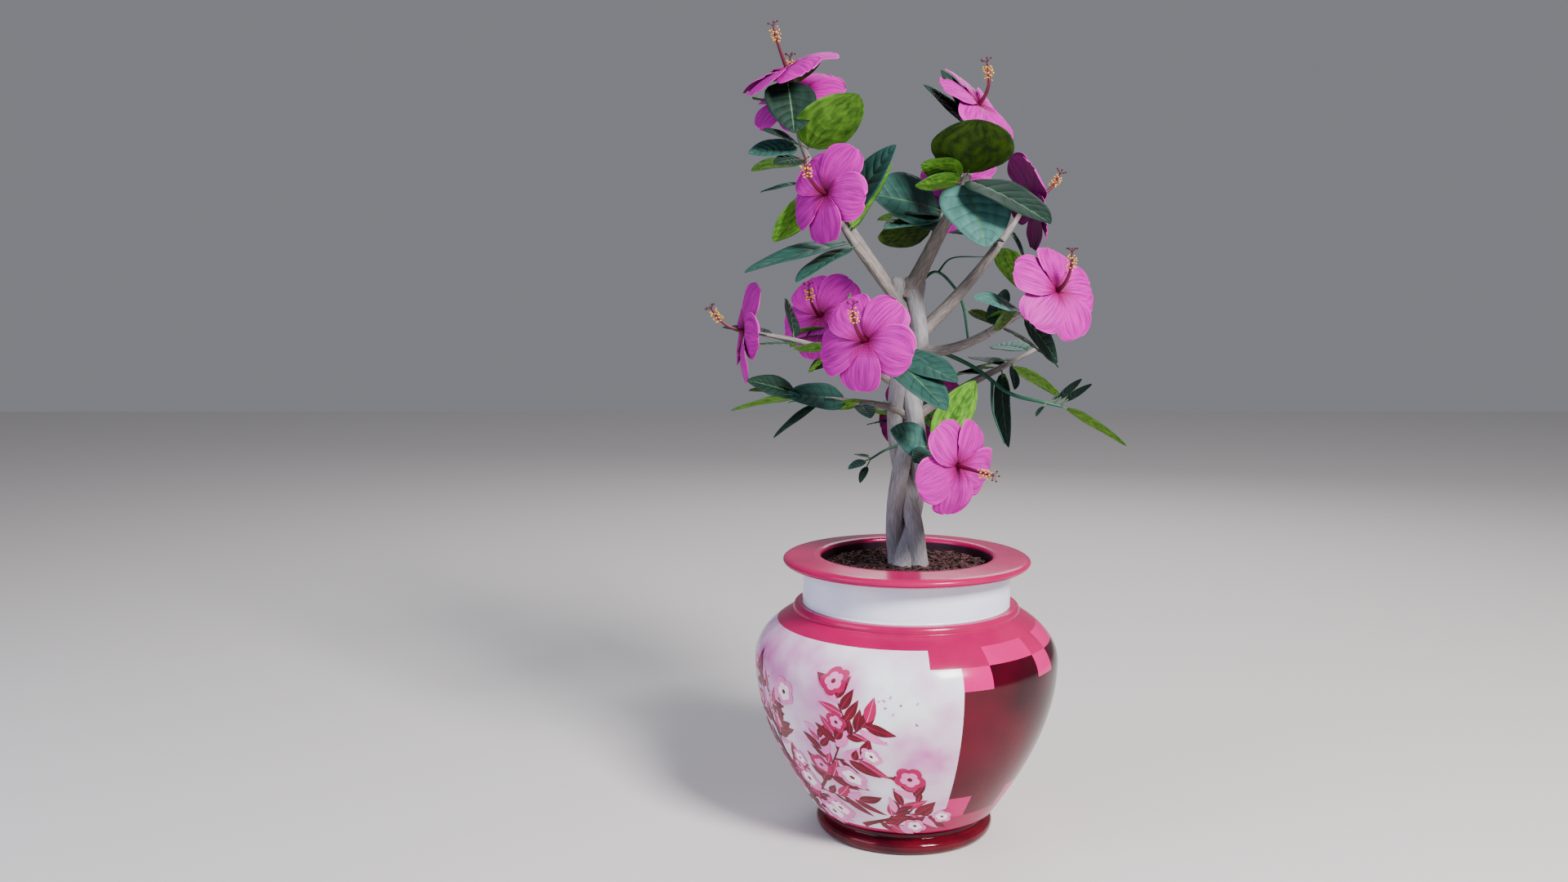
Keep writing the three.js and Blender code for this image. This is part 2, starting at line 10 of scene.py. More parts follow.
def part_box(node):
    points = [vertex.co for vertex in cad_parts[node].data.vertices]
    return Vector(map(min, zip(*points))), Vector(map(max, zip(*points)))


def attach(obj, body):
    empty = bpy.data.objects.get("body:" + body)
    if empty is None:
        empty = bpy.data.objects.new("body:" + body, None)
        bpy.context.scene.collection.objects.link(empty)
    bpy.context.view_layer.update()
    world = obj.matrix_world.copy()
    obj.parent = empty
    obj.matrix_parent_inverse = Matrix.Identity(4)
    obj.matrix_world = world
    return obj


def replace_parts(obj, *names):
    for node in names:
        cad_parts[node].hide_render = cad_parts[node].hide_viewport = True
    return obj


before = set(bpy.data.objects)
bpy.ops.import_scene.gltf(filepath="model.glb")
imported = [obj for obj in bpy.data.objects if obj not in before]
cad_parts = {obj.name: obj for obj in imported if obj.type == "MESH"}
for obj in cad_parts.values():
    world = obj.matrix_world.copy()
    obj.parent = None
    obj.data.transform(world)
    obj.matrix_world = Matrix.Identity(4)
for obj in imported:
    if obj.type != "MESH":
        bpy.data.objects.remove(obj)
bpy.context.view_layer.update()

# The view, the floor and the light.
# A camera where the photographer stood, a wide pale sheet under the jar that the plant only
# stands on, and three soft lamps with a pale room round them.
CAMERA_PLACE = (-0.1636, -1.8313, 0.7356)
CAMERA_DOWN = 6.57  # degrees
CAMERA_LENS = 31.9  # millimetres
SENSOR_WIDTH = 36.0  # millimetres
FLOOR_SIZE = 12.0
ROOM_LIGHT = 0.28
# Each lamp's place, where it aims, its size, its watts and its colour
LAMPS = {
    "key_lamp": ((1.5, -2.3, 2.6), (0.0, 0.0, 0.6), 0.9, 275.0, "#FFFDFA"),
    "side_lamp": ((-2.3, -1.3, 1.5), (0.0, 0.0, 0.6), 1.6, 40.0, "#D8E0FF"),
    "back_lamp": ((0.6, 2.4, 2.2), (0.0, 0.0, 0.7), 1.6, 30.0, "#FFFFFF"),
}

camera_data = bpy.data.cameras.new("photo_view")
camera_data.sensor_width = SENSOR_WIDTH
camera_data.lens = CAMERA_LENS
camera = bpy.data.objects.new("photo_view", camera_data)
camera.location = CAMERA_PLACE
camera.rotation_euler = (math.radians(90.0 - CAMERA_DOWN), 0.0, 0.0)
bpy.context.scene.collection.objects.link(camera)
bpy.context.scene.camera = camera


def linear(colour):
    """An sRGB hex colour such as "#A8A29C" as linear red, green, blue and alpha."""
    parts = [int(colour[i:i + 2], 16) / 255.0 for i in (1, 3, 5)]
    return tuple(c / 12.92 if c <= 0.04045 else ((c + 0.055) / 1.055) ** 2.4 for c in parts) + (1.0,)


def surface(name, colour, **sockets):
    """A new material whose shader has these constant values on its own sockets."""
    made = bpy.data.materials.new(name)
    made.use_nodes = True
    shader = made.node_tree.nodes["Principled BSDF"]
    shader.inputs["Base Color"].default_value = linear(colour)
    for socket, value in sockets.items():
        shader.inputs[socket.replace("_", " ")].default_value = value
    return made


# matt studio paper, a little warm, which takes a soft shadow
paper = surface("studio_paper", "#D9D4D2", Roughness=0.9)
floor_mesh = bpy.data.meshes.new("floor")
half = FLOOR_SIZE / 2.0
floor_corners = [(-half, -half, 0), (half, -half, 0), (half, half, 0), (-half, half, 0)]
floor_mesh.from_pydata(floor_corners, [], [(0, 1, 2, 3)])
floor_mesh.materials.append(paper)
floor = bpy.data.objects.new("floor", floor_mesh)
bpy.context.scene.collection.objects.link(floor)

for lamp_name, (place, aim, size, watts, colour) in LAMPS.items():
    light = bpy.data.lights.new(lamp_name, "AREA")
    light.size = size
    light.energy = watts
    light.color = linear(colour)[:3]
    holder = bpy.data.objects.new(lamp_name, light)
    holder.location = place
    holder.rotation_euler = (Vector(aim) - Vector(place)).to_track_quat("-Z", "Y").to_euler()
    bpy.context.scene.collection.objects.link(holder)
room = bpy.data.worlds.new("pale_room")
room.use_nodes = True
room.node_tree.nodes["Background"].inputs["Color"].default_value = linear("#E2E4EE")
room.node_tree.nodes["Background"].inputs["Strength"].default_value = ROOM_LIGHT
bpy.context.scene.world = room

# The jar.
# A wheel-thrown stoneware jar with a wide rolled lip, a straight neck and a round belly on a
# turned foot, dipped and brushed in coloured glazes and fired to a hard gloss.
MM = 0.001
JAR_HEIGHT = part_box("pot")[1][2]
LIP_RADIUS = 167 * MM
MOUTH_RADIUS = 114 * MM
LIP_THICK = 15 * MM
NECK_RADIUS = 138.5 * MM
NECK_FOOT = 308 * MM
COLLAR_RADIUS = 151 * MM
BELLY_RADIUS = 202.5 * MM
BELLY_HEIGHT = 236 * MM
BELLY_FOOT_RADIUS = 122 * MM
BELLY_FOOT_HEIGHT = 33 * MM
FOOT_RADIUS = 119 * MM
FOOT_WAIST = 108 * MM
WALL = 9 * MM
FLOOR_TOP = 14 * MM
SHOULDER_FALL = (181 * MM, 284 * MM)  # control points, as radius and height
BELLY_FLARE = (160 * MM, 88 * MM)
HOLLOW_FLARE = (154 * MM, 88 * MM)
BLOCK_TURN = 11.75  # degrees that one painted block takes
BLOCKS = 16  # blocks round the dark half
STEP_EVERY = 3  # every third block of the dark half is painted one band further
BLOCK_START = 4.0  # degrees from the front, toward the right
BAND_EDGES = (25 * MM, 52 * MM, 81 * MM)  # down the belly from the collar
HEM_EDGES = (240 * MM, 277 * MM, 301 * MM)
FINE = 8  # steps round the jar for each block
CLAY_STEP = 4 * MM
UPPER_STEPS, LOWER_STEPS = 120, 240
RIPPLE = 30 * MM  # breadth of the fired surface's faint waves
# Each zone's glaze: its name, colour, the colour where it pools, the pools' breadth in millimetres
# and the roughness
GLAZES = {
    # the inside, left thin and dull
    "inside": ("inside_glaze", "#3A2430", "#221219", 40.0, 0.4),
    # rose glaze on lip, collar and bands: an even warm pink with a wet shine
    "rose": ("rose_glaze", "#B00054", "#9A004A", 70.0, 0.2),
    # white tin glaze on the neck, tinted blue all over as painted cool light, and darker and bluer in patches
    # where it pools
    "white": ("white_glaze", "#E9EFFF", "#D4DDF8", 60.0, 0.12),
    # the brightest blocks, laid thicker, so purer in colour
    "bright": ("bright_rose_glaze", "#CE0070", "#C20068", 60.0, 0.2),
    # dark oxblood glaze: nearly black where thin, wine red where it pools
    "dark": ("oxblood_glaze", "#2C000C", "#660020", 160.0, 0.16),
    # pale painted ground, white with soft pink clouds
    "panel": ("cloud_glaze", "#F2F7FF", "#CC40AA", 95.0, 0.16),
    # the foot, dipped twice, so darkest
    "foot": ("foot_glaze", "#3C0716", "#6E1020", 50.0, 0.1),
}


def node(material, kind, feeds=None, **settings):
    """Adds one shader node with its settings. Feeds gives each input a value or another's output."""
    made = material.node_tree.nodes.new(kind)
    for name, value in settings.items():
        setattr(made, name, value)
    for socket, value in (feeds or {}).items():
        if isinstance(value, bpy.types.NodeSocket):
            material.node_tree.links.new(value, made.inputs[socket])
        else:
            made.inputs[socket].default_value = value
    return made


def lead(material, output, socket):
    """Joins an output to one of the shader's own sockets."""
    shader = material.node_tree.nodes["Principled BSDF"]
    material.node_tree.links.new(output, shader.inputs[socket])


def clouds(material, place, scale, detail, rough=0.5):
    """A cloudy texture over a place, with this many clouds to its unit."""
    feeds = {"Vector": place, "Scale": scale, "Detail": detail, "Roughness": rough}
    return node(material, "ShaderNodeTexNoise", feeds).outputs["Fac"]


def blend(material, texture, low, high, colour, other):
    """Turns the base colour from one to the other while the texture climbs from low to high."""
    ramp = node(material, "ShaderNodeMapRange", {"Value": texture, "From Min": low, "From Max": high})
    feeds = {"Factor": ramp.outputs["Result"], 6: linear(colour), 7: linear(other)}
    lead(material, node(material, "ShaderNodeMix", feeds, data_type="RGBA").outputs[2], "Base Color")


def emboss(material, texture, strength, depth):
    """Lets the light catch the texture as a relief of this depth."""
    feeds = {"Height": texture, "Strength": strength, "Distance": depth}
    lead(material, node(material, "ShaderNodeBump", feeds).outputs["Normal"], "Normal")


def glaze(name, colour, deep, pool_mm, roughness):
    """Fired glaze: a hard glassy coat over clay, pooling a little darker, with a faint waviness."""
    made = surface(
        name, colour, Roughness=roughness, IOR=1.45, Specular_IOR_Level=0.3, Coat_Weight=0.08,
        Coat_Roughness=0.05, Coat_IOR=1.45,
    )
    place = node(made, "ShaderNodeTexCoord").outputs["Object"]
    blend(made, clouds(made, place, 1.0 / (pool_mm * MM), 3.0), 0.35, 0.75, colour, deep)
    emboss(made, clouds(made, place, 1.0 / RIPPLE, 1.0), 0.12, 2 * MM)
    return made


def bezier(*corners, steps):
    """Points along a curve with two, three or four control points, in the plane or in space."""
    corners = np.array(corners, dtype=float)
    order = len(corners) - 1
    along = np.linspace(0.0, 1.0, steps + 1)[:, None]
    return sum(
        math.comb(order, i) * (1 - along) ** (order - i) * along ** i * corners[i] for i in range(order + 1)
    )


def ring_faces(rings, sides, first=0):
    """Faces with four corners each between closed rings of corners, numbered on from the first."""
    faces = []
    for here in range(first, first + (rings - 1) * sides, sides):
        for a in range(sides):
            b = (a + 1) % sides
            faces.append((here + a, here + b, here + sides + b, here + sides + a))
    return faces


def lathe(outline, turns):
    """Corners and faces of a turned form. Turns are degrees from the front, toward the right."""
    turn = np.radians(turns)[None, :]
    radius = outline[:, 0][:, None]
    height = np.repeat(outline[:, 1][:, None], len(turns), axis=1)
    corners = np.stack([radius * np.sin(turn), -radius * np.cos(turn), height], axis=-1).reshape(-1, 3)
    return corners, ring_faces(len(outline), len(turns))


def make(name, corners, faces, materials, picks=None, marks=None, rim=None):
    """One smooth-shaded piece that rides on the plant. Picks is a material number for each face,
    marks holds named values for each corner that a material reads, and rim says which faces are
    a thin edge, which stays flat so that the two sides of a blade shade on their own."""
    mesh = bpy.data.meshes.new(name)
    mesh.from_pydata(np.asarray(corners).tolist(), [], faces)
    for material in materials:
        mesh.materials.append(material)
    if picks is not None:
        mesh.polygons.foreach_set("material_index", picks)
    smooth = [True] * len(faces) if rim is None else [not edge for edge in rim]
    mesh.polygons.foreach_set("use_smooth", smooth)
    for mark, values in (marks or {}).items():
        layer = mesh.attributes.new(mark, "FLOAT_VECTOR", "POINT")
        layer.data.foreach_set("vector", np.asarray(values, dtype=np.float32).ravel())
    mesh.update()
    made = bpy.data.objects.new(name, mesh)
    bpy.context.scene.collection.objects.link(made)
    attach(made, "root")
    return made


def beside(anchor, out, up):
    """A point of the outline this many millimetres out from an anchor and above it."""
    return anchor[0] + out * MM, anchor[1] + up * MM


def run_along(points):
    """How far along its line each point lies."""
    return np.concatenate([[0.0], np.cumsum(np.linalg.norm(np.diff(points, axis=0), axis=1))])


collar = (COLLAR_RADIUS, NECK_FOOT)
widest, belly_foot = (BELLY_RADIUS, BELLY_HEIGHT), (BELLY_FOOT_RADIUS, BELLY_FOOT_HEIGHT)
belly = np.vstack([
    bezier(beside(collar, 0, -9), SHOULDER_FALL, beside(widest, 0, 26), widest, steps=UPPER_STEPS),
    bezier(widest, beside(widest, 0, -78), BELLY_FLARE, belly_foot, steps=LOWER_STEPS)[1:],
])
belly_run = run_along(belly)


def on_belly(run):
    """Radius and height of the belly's surface this far down it from the collar."""
    return np.stack([np.interp(run, belly_run, belly[:, 0]), np.interp(run, belly_run, belly[:, 1])], axis=-1)


edges = [0.0, *BAND_EDGES, *HEM_EDGES, belly_run[-1]]
runs = [
    np.linspace(a, b, max(2, round((b - a) / CLAY_STEP)), endpoint=False) for a, b in zip(edges, edges[1:])
]
runs = np.concatenate([*runs, [belly_run[-1]]])
mouth, lip, inner_lip = (MOUTH_RADIUS, JAR_HEIGHT), (LIP_RADIUS, JAR_HEIGHT), (NECK_RADIUS - WALL, JAR_HEIGHT)
under_lip, neck = (NECK_RADIUS, JAR_HEIGHT - LIP_THICK), (NECK_RADIUS, NECK_FOOT)
inner_belly = (BELLY_RADIUS - WALL, BELLY_HEIGHT)
waist, foot = (FOOT_WAIST, BELLY_FOOT_HEIGHT), (FOOT_RADIUS, 0.0)
# Each stretch of the outline, from the middle of the floor inside over the lip to the middle of the
# underside: its zone, its steps and the control points that follow the stretch before
JAR_OUTLINE = [
    ("inside", 6, (BELLY_FOOT_RADIUS - WALL, BELLY_FOOT_HEIGHT + 3 * MM)),
    ("inside", 16, HOLLOW_FLARE, beside(inner_belly, 0, -78), inner_belly),
    ("inside", 12, beside(inner_belly, 0, 46), (NECK_RADIUS - WALL, NECK_FOOT - 6 * MM)),
    ("inside", 8, beside(inner_lip, 0, -30)),
    ("inside", 4, beside(mouth, 0, -21)),
    ("inside", 5, beside(mouth, 0, -6)),
    ("rose", 6, mouth, beside(mouth, 8, 0)),
    ("rose", 8, beside(lip, -12, -2.5)),
    ("rose", 14, beside(lip, 1, -3), beside(lip, 1.5, -12), beside(lip, -12, -15)),
    ("rose", 5, beside(under_lip, 2, 0)),
    ("white", 3, under_lip, beside(under_lip, 0, -3)),
    ("white", 12, beside(neck, 0, 1)),
    ("rose", 3, beside(collar, -6, 1)),
    ("rose", 5, beside(collar, -1, 1), beside(collar, 0, -6)),
    ("rose", 3, beside(collar, -1.5, -8), beside(collar, 0, -9)),
    ("belly", None),
    ("foot", 8, beside(waist, 0, -1), beside(waist, 0, -7), beside(waist, 0, -12)),
    ("foot", 8, beside(waist, 1, -16), beside(foot, 0, 18), beside(foot, 0, 11)),
    ("foot", 6, beside(foot, 0, 4), beside(foot, -6, 0)),
    ("foot", 3, (0.0, 0.0)),
]
outline, zones = [[0.0, FLOOR_TOP]], []
for zone, steps, *ahead in JAR_OUTLINE:
    points = on_belly(runs) if zone == "belly" else bezier(outline[-1], *ahead, steps=steps)
    outline += points[1:].tolist()
    zones += [zone] * (len(points) - 1)

dark_half = BLOCKS * BLOCK_TURN
block_turns = BLOCK_START + np.arange(BLOCKS * FINE) * BLOCK_TURN / FINE
panel_steps = round((360.0 - dark_half) / BLOCK_TURN * FINE)
panel_turns = BLOCK_START + dark_half + np.arange(panel_steps) * (360.0 - dark_half) / panel_steps
jar_turns = np.concatenate([block_turns, panel_turns])
jar_corners, jar_faces = lathe(np.array(outline), jar_turns)


def belly_zone(run, step):
    """The painted zone of the belly this far down it, at this step round it."""
    block = step // FINE
    if block >= BLOCKS:
        return "panel" if BAND_EDGES[0] < run < HEM_EDGES[2] else "rose"
    if not BAND_EDGES[0] < run < HEM_EDGES[1]:
        return "rose"
    on_dark = 0 < block < BLOCKS - 1
    stepped = (block - 1) % STEP_EVERY == 0
    if run < BAND_EDGES[1]:
        return "bright" if on_dark and not stepped else "rose"
    if on_dark and stepped and not BAND_EDGES[2] < run < HEM_EDGES[0]:
        return "bright"
    return "dark" if on_dark else "panel"


zone_numbers = {zone: number for number, zone in enumerate(GLAZES)}
belly_middles = iter((runs[:-1] + runs[1:]) / 2.0)
jar_picks = []
for zone in zones:
    if zone == "belly":
        middle = next(belly_middles)
        jar_picks += [zone_numbers[belly_zone(middle, step)] for step in range(len(jar_turns))]
    else:
        jar_picks += [zone_numbers[zone]] * len(jar_turns)
jar = make("jar", jar_corners, jar_faces, [glaze(*row) for row in GLAZES.values()], jar_picks)
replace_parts(jar, "pot")

# The jar's brushwork.
# Boughs in leaf and blossom that climb from the hem, painted free-hand on the pale panel with a
# loaded brush in crimson, rose and pink slip, which stands a hair proud of the ground.
# Each bough is the turn and run where it springs, then its line to the right and up in millimetres.
PAINTED_BOUGHS = (
    {"turn": -88.0, "run": 296 * MM, "line": ((0, 0), (90, 20), (165, 90), (222, 176)), "twigs": 12},
    {"turn": -66.0, "run": 298 * MM, "line": ((0, 0), (20, 60), (-14, 110), (4, 196)), "twigs": 8},
    {"turn": -28.0, "run": 298 * MM, "line": ((0, 0), (20, 16), (60, 22), (88, 60)), "twigs": 4},
    {"turn": -112.0, "run": 296 * MM, "line": ((0, 0), (-40, 90), (-20, 150), (-70, 205)), "twigs": 8},
    {"turn": -140.0, "run": 298 * MM, "line": ((0, 0), (-20, 50), (-50, 70), (-78, 120)), "twigs": 6},
)
LINE_STEPS = 60
TWIG_STEPS = 16
BOUGH_WIDE = 9.0  # strokes are in millimetres and lean by radians
TWIG_LONG = (34.0, 58.0)
TWIG_WIDE = (3.2, 2.4)  # at its root, and how much of that it loses
TWIG_LEAN = (0.5, 1.0)
TWIG_CURL = (-0.5, 0.2)
LEAF_LONG = (20.0, 40.0)
LEAF_WIDE = (0.3, 0.42)  # share of its length
LEAF_LEAN = 0.75
LEAF_LEANS_BY = (0.6, 1.3)
LEAVES_A_TWIG = 8
BLOSSOM_SIZE = (12.0, 20.0)
PETAL_SPREAD = (0.56, 0.44)  # a painted petal's middle and radius, as shares of its blossom's
INNER_PETAL = 0.62
HEART = 0.16
FALLEN = 9
FALLEN_UP = (150, 215)
FALLEN_LONG, FALLEN_WIDE = (3, 6), 2.4
LAYER = 0.06 * MM
LOWEST_LAYER = 0.25 * MM
CRIMSON, ROSE, BLUSH, WHITE = 0, 1, 2, 3
# slip colours under clear glaze: crimson, rose, a blush that shows the ground, and white
SLIPS = (
    ("crimson_slip", "#74001E", "#4C0014"), ("rose_slip", "#B80458", "#980448"),
    ("blush_slip", "#F08CC8", "#E070B4"), ("white_slip", "#FFFBFF", "#F6DCF0"),
)
SLIP_POOL, SLIP_ROUGHNESS = 18.0, 0.2


def unit(vectors):
    """One direction or several, at a length of 1."""
    return vectors / np.linalg.norm(vectors, axis=-1, keepdims=True)


def toward(angle):
    """The flat direction at this angle, in radians."""
    return np.array([math.cos(angle), math.sin(angle)])


def on_panel(bough, place, proud):
    """A place beside a painted bough's foot, in millimetres right and up, as a place in space."""
    run = bough["run"] - place[1] * MM
    radius, height = on_belly(run)
    around = math.radians(bough["turn"]) + place[0] * MM / radius
    return ((radius + proud) * math.sin(around), -(radius + proud) * math.cos(around), height + 0.3 * proud)


def disc(places, wide):
    """Places along a round dab from edge to edge, from -1 to 1, and its breadth at each."""
    k = np.sin(np.linspace(-math.pi / 2, math.pi / 2, places))
    return k, wide * np.sqrt(1.001 - k ** 2)


class Brush:
    """Strokes of slip on the jar, each one laid a little above the last few."""

    def __init__(self):
        self.corners, self.faces, self.picks = [], [], []

    def lay(self, bough, rows, shade, layer):
        """One stroke from rows of places across it."""
        first, across = len(self.corners), len(rows[0])
        proud = LOWEST_LAYER + LAYER * layer
        self.corners += [on_panel(bough, place, proud) for row in rows for place in row]
        for row in range(len(rows) - 1):
            for step in range(across - 1):
                here = first + row * across + step
                self.faces.append((here, here + 1, here + across + 1, here + across))
                self.picks.append(shade)

    def line(self, bough, points, wides, shade, layer):
        """A stroke with this breadth at each point of its line."""
        ways = unit(np.gradient(points, axis=0))
        aside = np.stack([ways[:, 1], -ways[:, 0]], axis=-1) * np.asarray(wides)[:, None] / 2.0
        self.lay(bough, np.stack([points - aside, points, points + aside], axis=1), shade, layer)

    def leaf(self, bough, place, heading, long, wide, shade, layer):
        """A pointed leaf in one press of the brush, with a paler rib."""
        k = np.linspace(0.0, 1.0, 13)
        bend = 0.12 * long * k * (1 - k)
        ahead = toward(heading)
        aside = np.array([ahead[1], -ahead[0]])
        points = place + k[:, None] * long * ahead + bend[:, None] * aside
        self.line(bough, points, 0.3 + wide * np.sin(math.pi * k ** 0.75), shade, layer)
        if shade != BLUSH:
            self.line(bough, points, 0.9 - 0.6 * k, BLUSH if shade == ROSE else ROSE, layer + 0.5)

    def blossom(self, bough, place, size, shade, turn):
        """Five round petals, a paler inside to each and a dark heart."""
        middle, radius = PETAL_SPREAD
        for number in range(5):
            ahead = toward(turn + 2 * math.pi * number / 5)
            for share, tone, layer in ((1.0, shade, 8), (INNER_PETAL, min(shade + 1, WHITE), 10)):
                k, wides = disc(13, 2.1 * radius * share * size)
                points = place + (middle + k[:, None] * radius) * share * size * ahead
                self.line(bough, points, wides, tone, layer + 0.4 * number)
        k, wides = disc(9, 2 * HEART * size)
        self.line(bough, place + np.stack([k, 0 * k], axis=-1) * size * HEART, wides, CRIMSON, 13)


brush, hand = Brush(), np.random.default_rng(12)
twig_wides = TWIG_WIDE[0] - TWIG_WIDE[1] * np.linspace(0, 1, TWIG_STEPS + 1)
for bough in PAINTED_BOUGHS:
    line = bezier(*bough["line"], steps=LINE_STEPS)
    brush.line(bough, line, BOUGH_WIDE * (1.05 - np.linspace(0, 1, LINE_STEPS + 1) ** 0.8), CRIMSON, 0)
    for twig in range(bough["twigs"]):
        share = 0.12 + 0.88 * (twig + 0.6) / bough["twigs"]
        at_step = min(round(LINE_STEPS * share), LINE_STEPS - 1)
        way = line[at_step + 1] - line[at_step]
        side = 1 if twig % 2 else -1
        heading = math.atan2(way[1], way[0]) + side * hand.uniform(*TWIG_LEAN)
        long = hand.uniform(*TWIG_LONG)
        curl = heading + side * hand.uniform(*TWIG_CURL)
        middle = line[at_step] + 0.5 * long * toward(heading)
        tip = middle + 0.5 * long * toward(curl)
        twig_line = bezier(line[at_step], middle, tip, steps=TWIG_STEPS)
        brush.line(bough, twig_line, twig_wides, CRIMSON, 1)
        in_flower = twig % 3 != 1
        for number in range(LEAVES_A_TWIG - 2 * in_flower):
            root = twig_line[round(TWIG_STEPS * (number + 0.8) / LEAVES_A_TWIG)]
            aim = heading + (LEAF_LEAN if number % 2 else -LEAF_LEAN) * hand.uniform(*LEAF_LEANS_BY)
            shade = (CRIMSON, CRIMSON, ROSE, CRIMSON, BLUSH)[(number + twig) % 5]
            long = hand.uniform(*LEAF_LONG)
            layer = 2 + (number + twig) % 6
            brush.leaf(bough, root, aim, long, long * hand.uniform(*LEAF_WIDE), shade, layer)
        if in_flower:
            shade = ROSE if twig % 2 else BLUSH
            brush.blossom(bough, tip, hand.uniform(*BLOSSOM_SIZE), shade, hand.uniform(0, 1.2))
    for fallen in range(FALLEN):
        place = np.array([hand.uniform(0.0, 1.1) * line[-1][0], hand.uniform(*FALLEN_UP)])
        heading, long = hand.uniform(0, 6.28), hand.uniform(*FALLEN_LONG)
        brush.leaf(bough, place, heading, long, FALLEN_WIDE, ROSE if fallen % 2 else BLUSH, 2)
slips = [glaze(*row, SLIP_POOL, SLIP_ROUGHNESS) for row in SLIPS]
make("painted_boughs", brush.corners, brush.faces, slips, brush.picks)

# The soil.
# Potting soil under a loose dressing of shredded reddish bark, thrown on by hand and settled,
# a little higher round the stems.
SOIL_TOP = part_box("soil")[1][2]
SOIL_RADIUS = MOUTH_RADIUS - 0.4 * MM
SOIL_EDGE, SOIL_MIDDLE, SOIL_SKIRT = 3 * MM, 1 * MM, 20 * MM  # depths under the soil's full height
SOIL_RINGS = 44
SOIL_ROUND = 128
LUMP_HIGH, LUMP_WIDE = 1.2 * MM, 17 * MM
CHIPS = 1500
CHIP_LEAST, CHIP_MOST = (5, 1.6, 0.8), (17, 5, 2.2)  # millimetres long, wide and thick
CHIP_HEIGHT = (-1.5, 2.0)  # millimetres from that height
CHIP_TAPER = (0.3, 0.9)
CHIP_TILT = 0.2  # radians, as a spread
SQUARE = ((-1, -1), (1, -1), (1, 1), (-1, 1))
BLOCK_FACES = ((0, 3, 2, 1), (4, 5, 6, 7), (0, 1, 5, 4), (1, 2, 6, 5), (2, 3, 7, 6), (3, 0, 4, 7))
mulch_dice = np.random.default_rng(5)


def lumps(x, y, size):
    """Rounded unevenness from -1 to 1 with lumps of about this size."""
    k = 2 * math.pi / size
    return (
        np.sin(k * x + 1.7 * np.sin(0.6 * k * y)) * np.sin(0.9 * k * y + 1.3 * np.sin(0.7 * k * x)) * 0.6
        + 0.4 * np.sin(1.9 * k * x + 2.0) * np.sin(2.2 * k * y + 0.5)
    )


def earth(name, colour, deep, grain_mm):
    """Dry bark crumbs: matt and fibrous, patchy in colour at the size of a crumb."""
    made = surface(name, colour, Roughness=0.95, IOR=1.45)
    crumb = clouds(made, node(made, "ShaderNodeTexCoord").outputs["Object"], 1.0 / (grain_mm * MM), 6.0)
    blend(made, crumb, 0.35, 0.65, colour, deep)
    emboss(made, crumb, 0.7, 1 * MM)
    return made


soil_outline = np.stack([
    np.linspace(SOIL_RADIUS, 0.0, SOIL_RINGS + 1),
    np.linspace(SOIL_TOP - SOIL_EDGE, SOIL_TOP - SOIL_MIDDLE, SOIL_RINGS + 1),
], axis=-1)
skirt = np.array([(0.0, SOIL_TOP - SOIL_SKIRT), (SOIL_RADIUS, SOIL_TOP - SOIL_SKIRT)])
soil_corners, soil_faces = lathe(np.vstack([skirt, soil_outline]), np.arange(SOIL_ROUND) * 360.0 / SOIL_ROUND)
soil_top = slice(3 * SOIL_ROUND, None)  # past the skirt and the edge
top_x, top_y, _ = soil_corners[soil_top].T
soil_corners[soil_top, 2] += LUMP_HIGH * lumps(top_x, top_y, LUMP_WIDE)
bark_soil = earth("bark_soil", "#3C2026", "#1E1014", 5.0)
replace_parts(make("soil_bed", soil_corners, soil_faces, [bark_soil]), "soil")

chip_corners, chip_faces, chip_picks = [], [], []
for chip in range(CHIPS):
    out = SOIL_RADIUS * math.sqrt(mulch_dice.uniform(0.01, 0.94))
    around = mulch_dice.uniform(0, 2 * math.pi)
    height = SOIL_TOP + mulch_dice.uniform(*CHIP_HEIGHT) * MM
    middle = np.array([out * math.cos(around), out * math.sin(around), height])
    long, wide, thick = mulch_dice.uniform(CHIP_LEAST, CHIP_MOST) * MM / 2.0
    turn, pitch = mulch_dice.uniform(0, 2 * math.pi), mulch_dice.normal(0, CHIP_TILT)
    ahead = np.array([math.cos(turn) * math.cos(pitch), math.sin(turn) * math.cos(pitch), math.sin(pitch)])
    side = np.array([-math.sin(turn), math.cos(turn), mulch_dice.normal(0, CHIP_TILT)])
    above = np.cross(ahead, side)
    if out + long > SOIL_RADIUS:
        continue
    first = len(chip_corners)
    for end, taper in ((-1, mulch_dice.uniform(*CHIP_TAPER)), (1, mulch_dice.uniform(*CHIP_TAPER))):
        for across, up in SQUARE:
            off = across * wide * side + up * thick * above
            chip_corners.append(middle + end * long * ahead + taper * off)
    chip_faces += [tuple(first + corner for corner in face) for face in BLOCK_FACES]
    chip_picks += [chip % 3] * len(BLOCK_FACES)
make("mulch_chips", chip_corners, chip_faces, [
    earth("red_bark_chip", "#5A302F", "#38191A", 3.0),
    earth("brown_bark_chip", "#422627", "#281416", 3.0),
    earth("pale_bark_chip", "#6E4846", "#4A2D2D", 3.0),
], chip_picks)

# The three plaited stems.
# Live hibiscus wood: three young stems plaited by hand and grown together where they press, with
# thin grey bark drawn lengthwise into fine ridges and swelling a little at the soil.
TRUNK_TOP = 740 * MM
STEM_OVER = 2 * MM  # how far a stem goes on into the soil, and past the trunk's top
TOP_ROUND = 9 * MM
PLAIT_PITCH = 430 * MM
PLAIT_SWAY = 16 * MM
PLAIT_DEPTH = 9 * MM
PLAIT_START = 98.0  # degrees
STEM_RADIUS = (11.8 * MM, 10.5 * MM)
ROOT_FLARE = 3 * MM
FLARE_HEIGHT = 26 * MM
STEM_SIDES = 60
STEM_RIDGE = 0.18 * MM
STEM_SHIFT = 0.9  # metres of bark between one stem's ridges and the next one's
BARK_STEP = 1.8 * MM


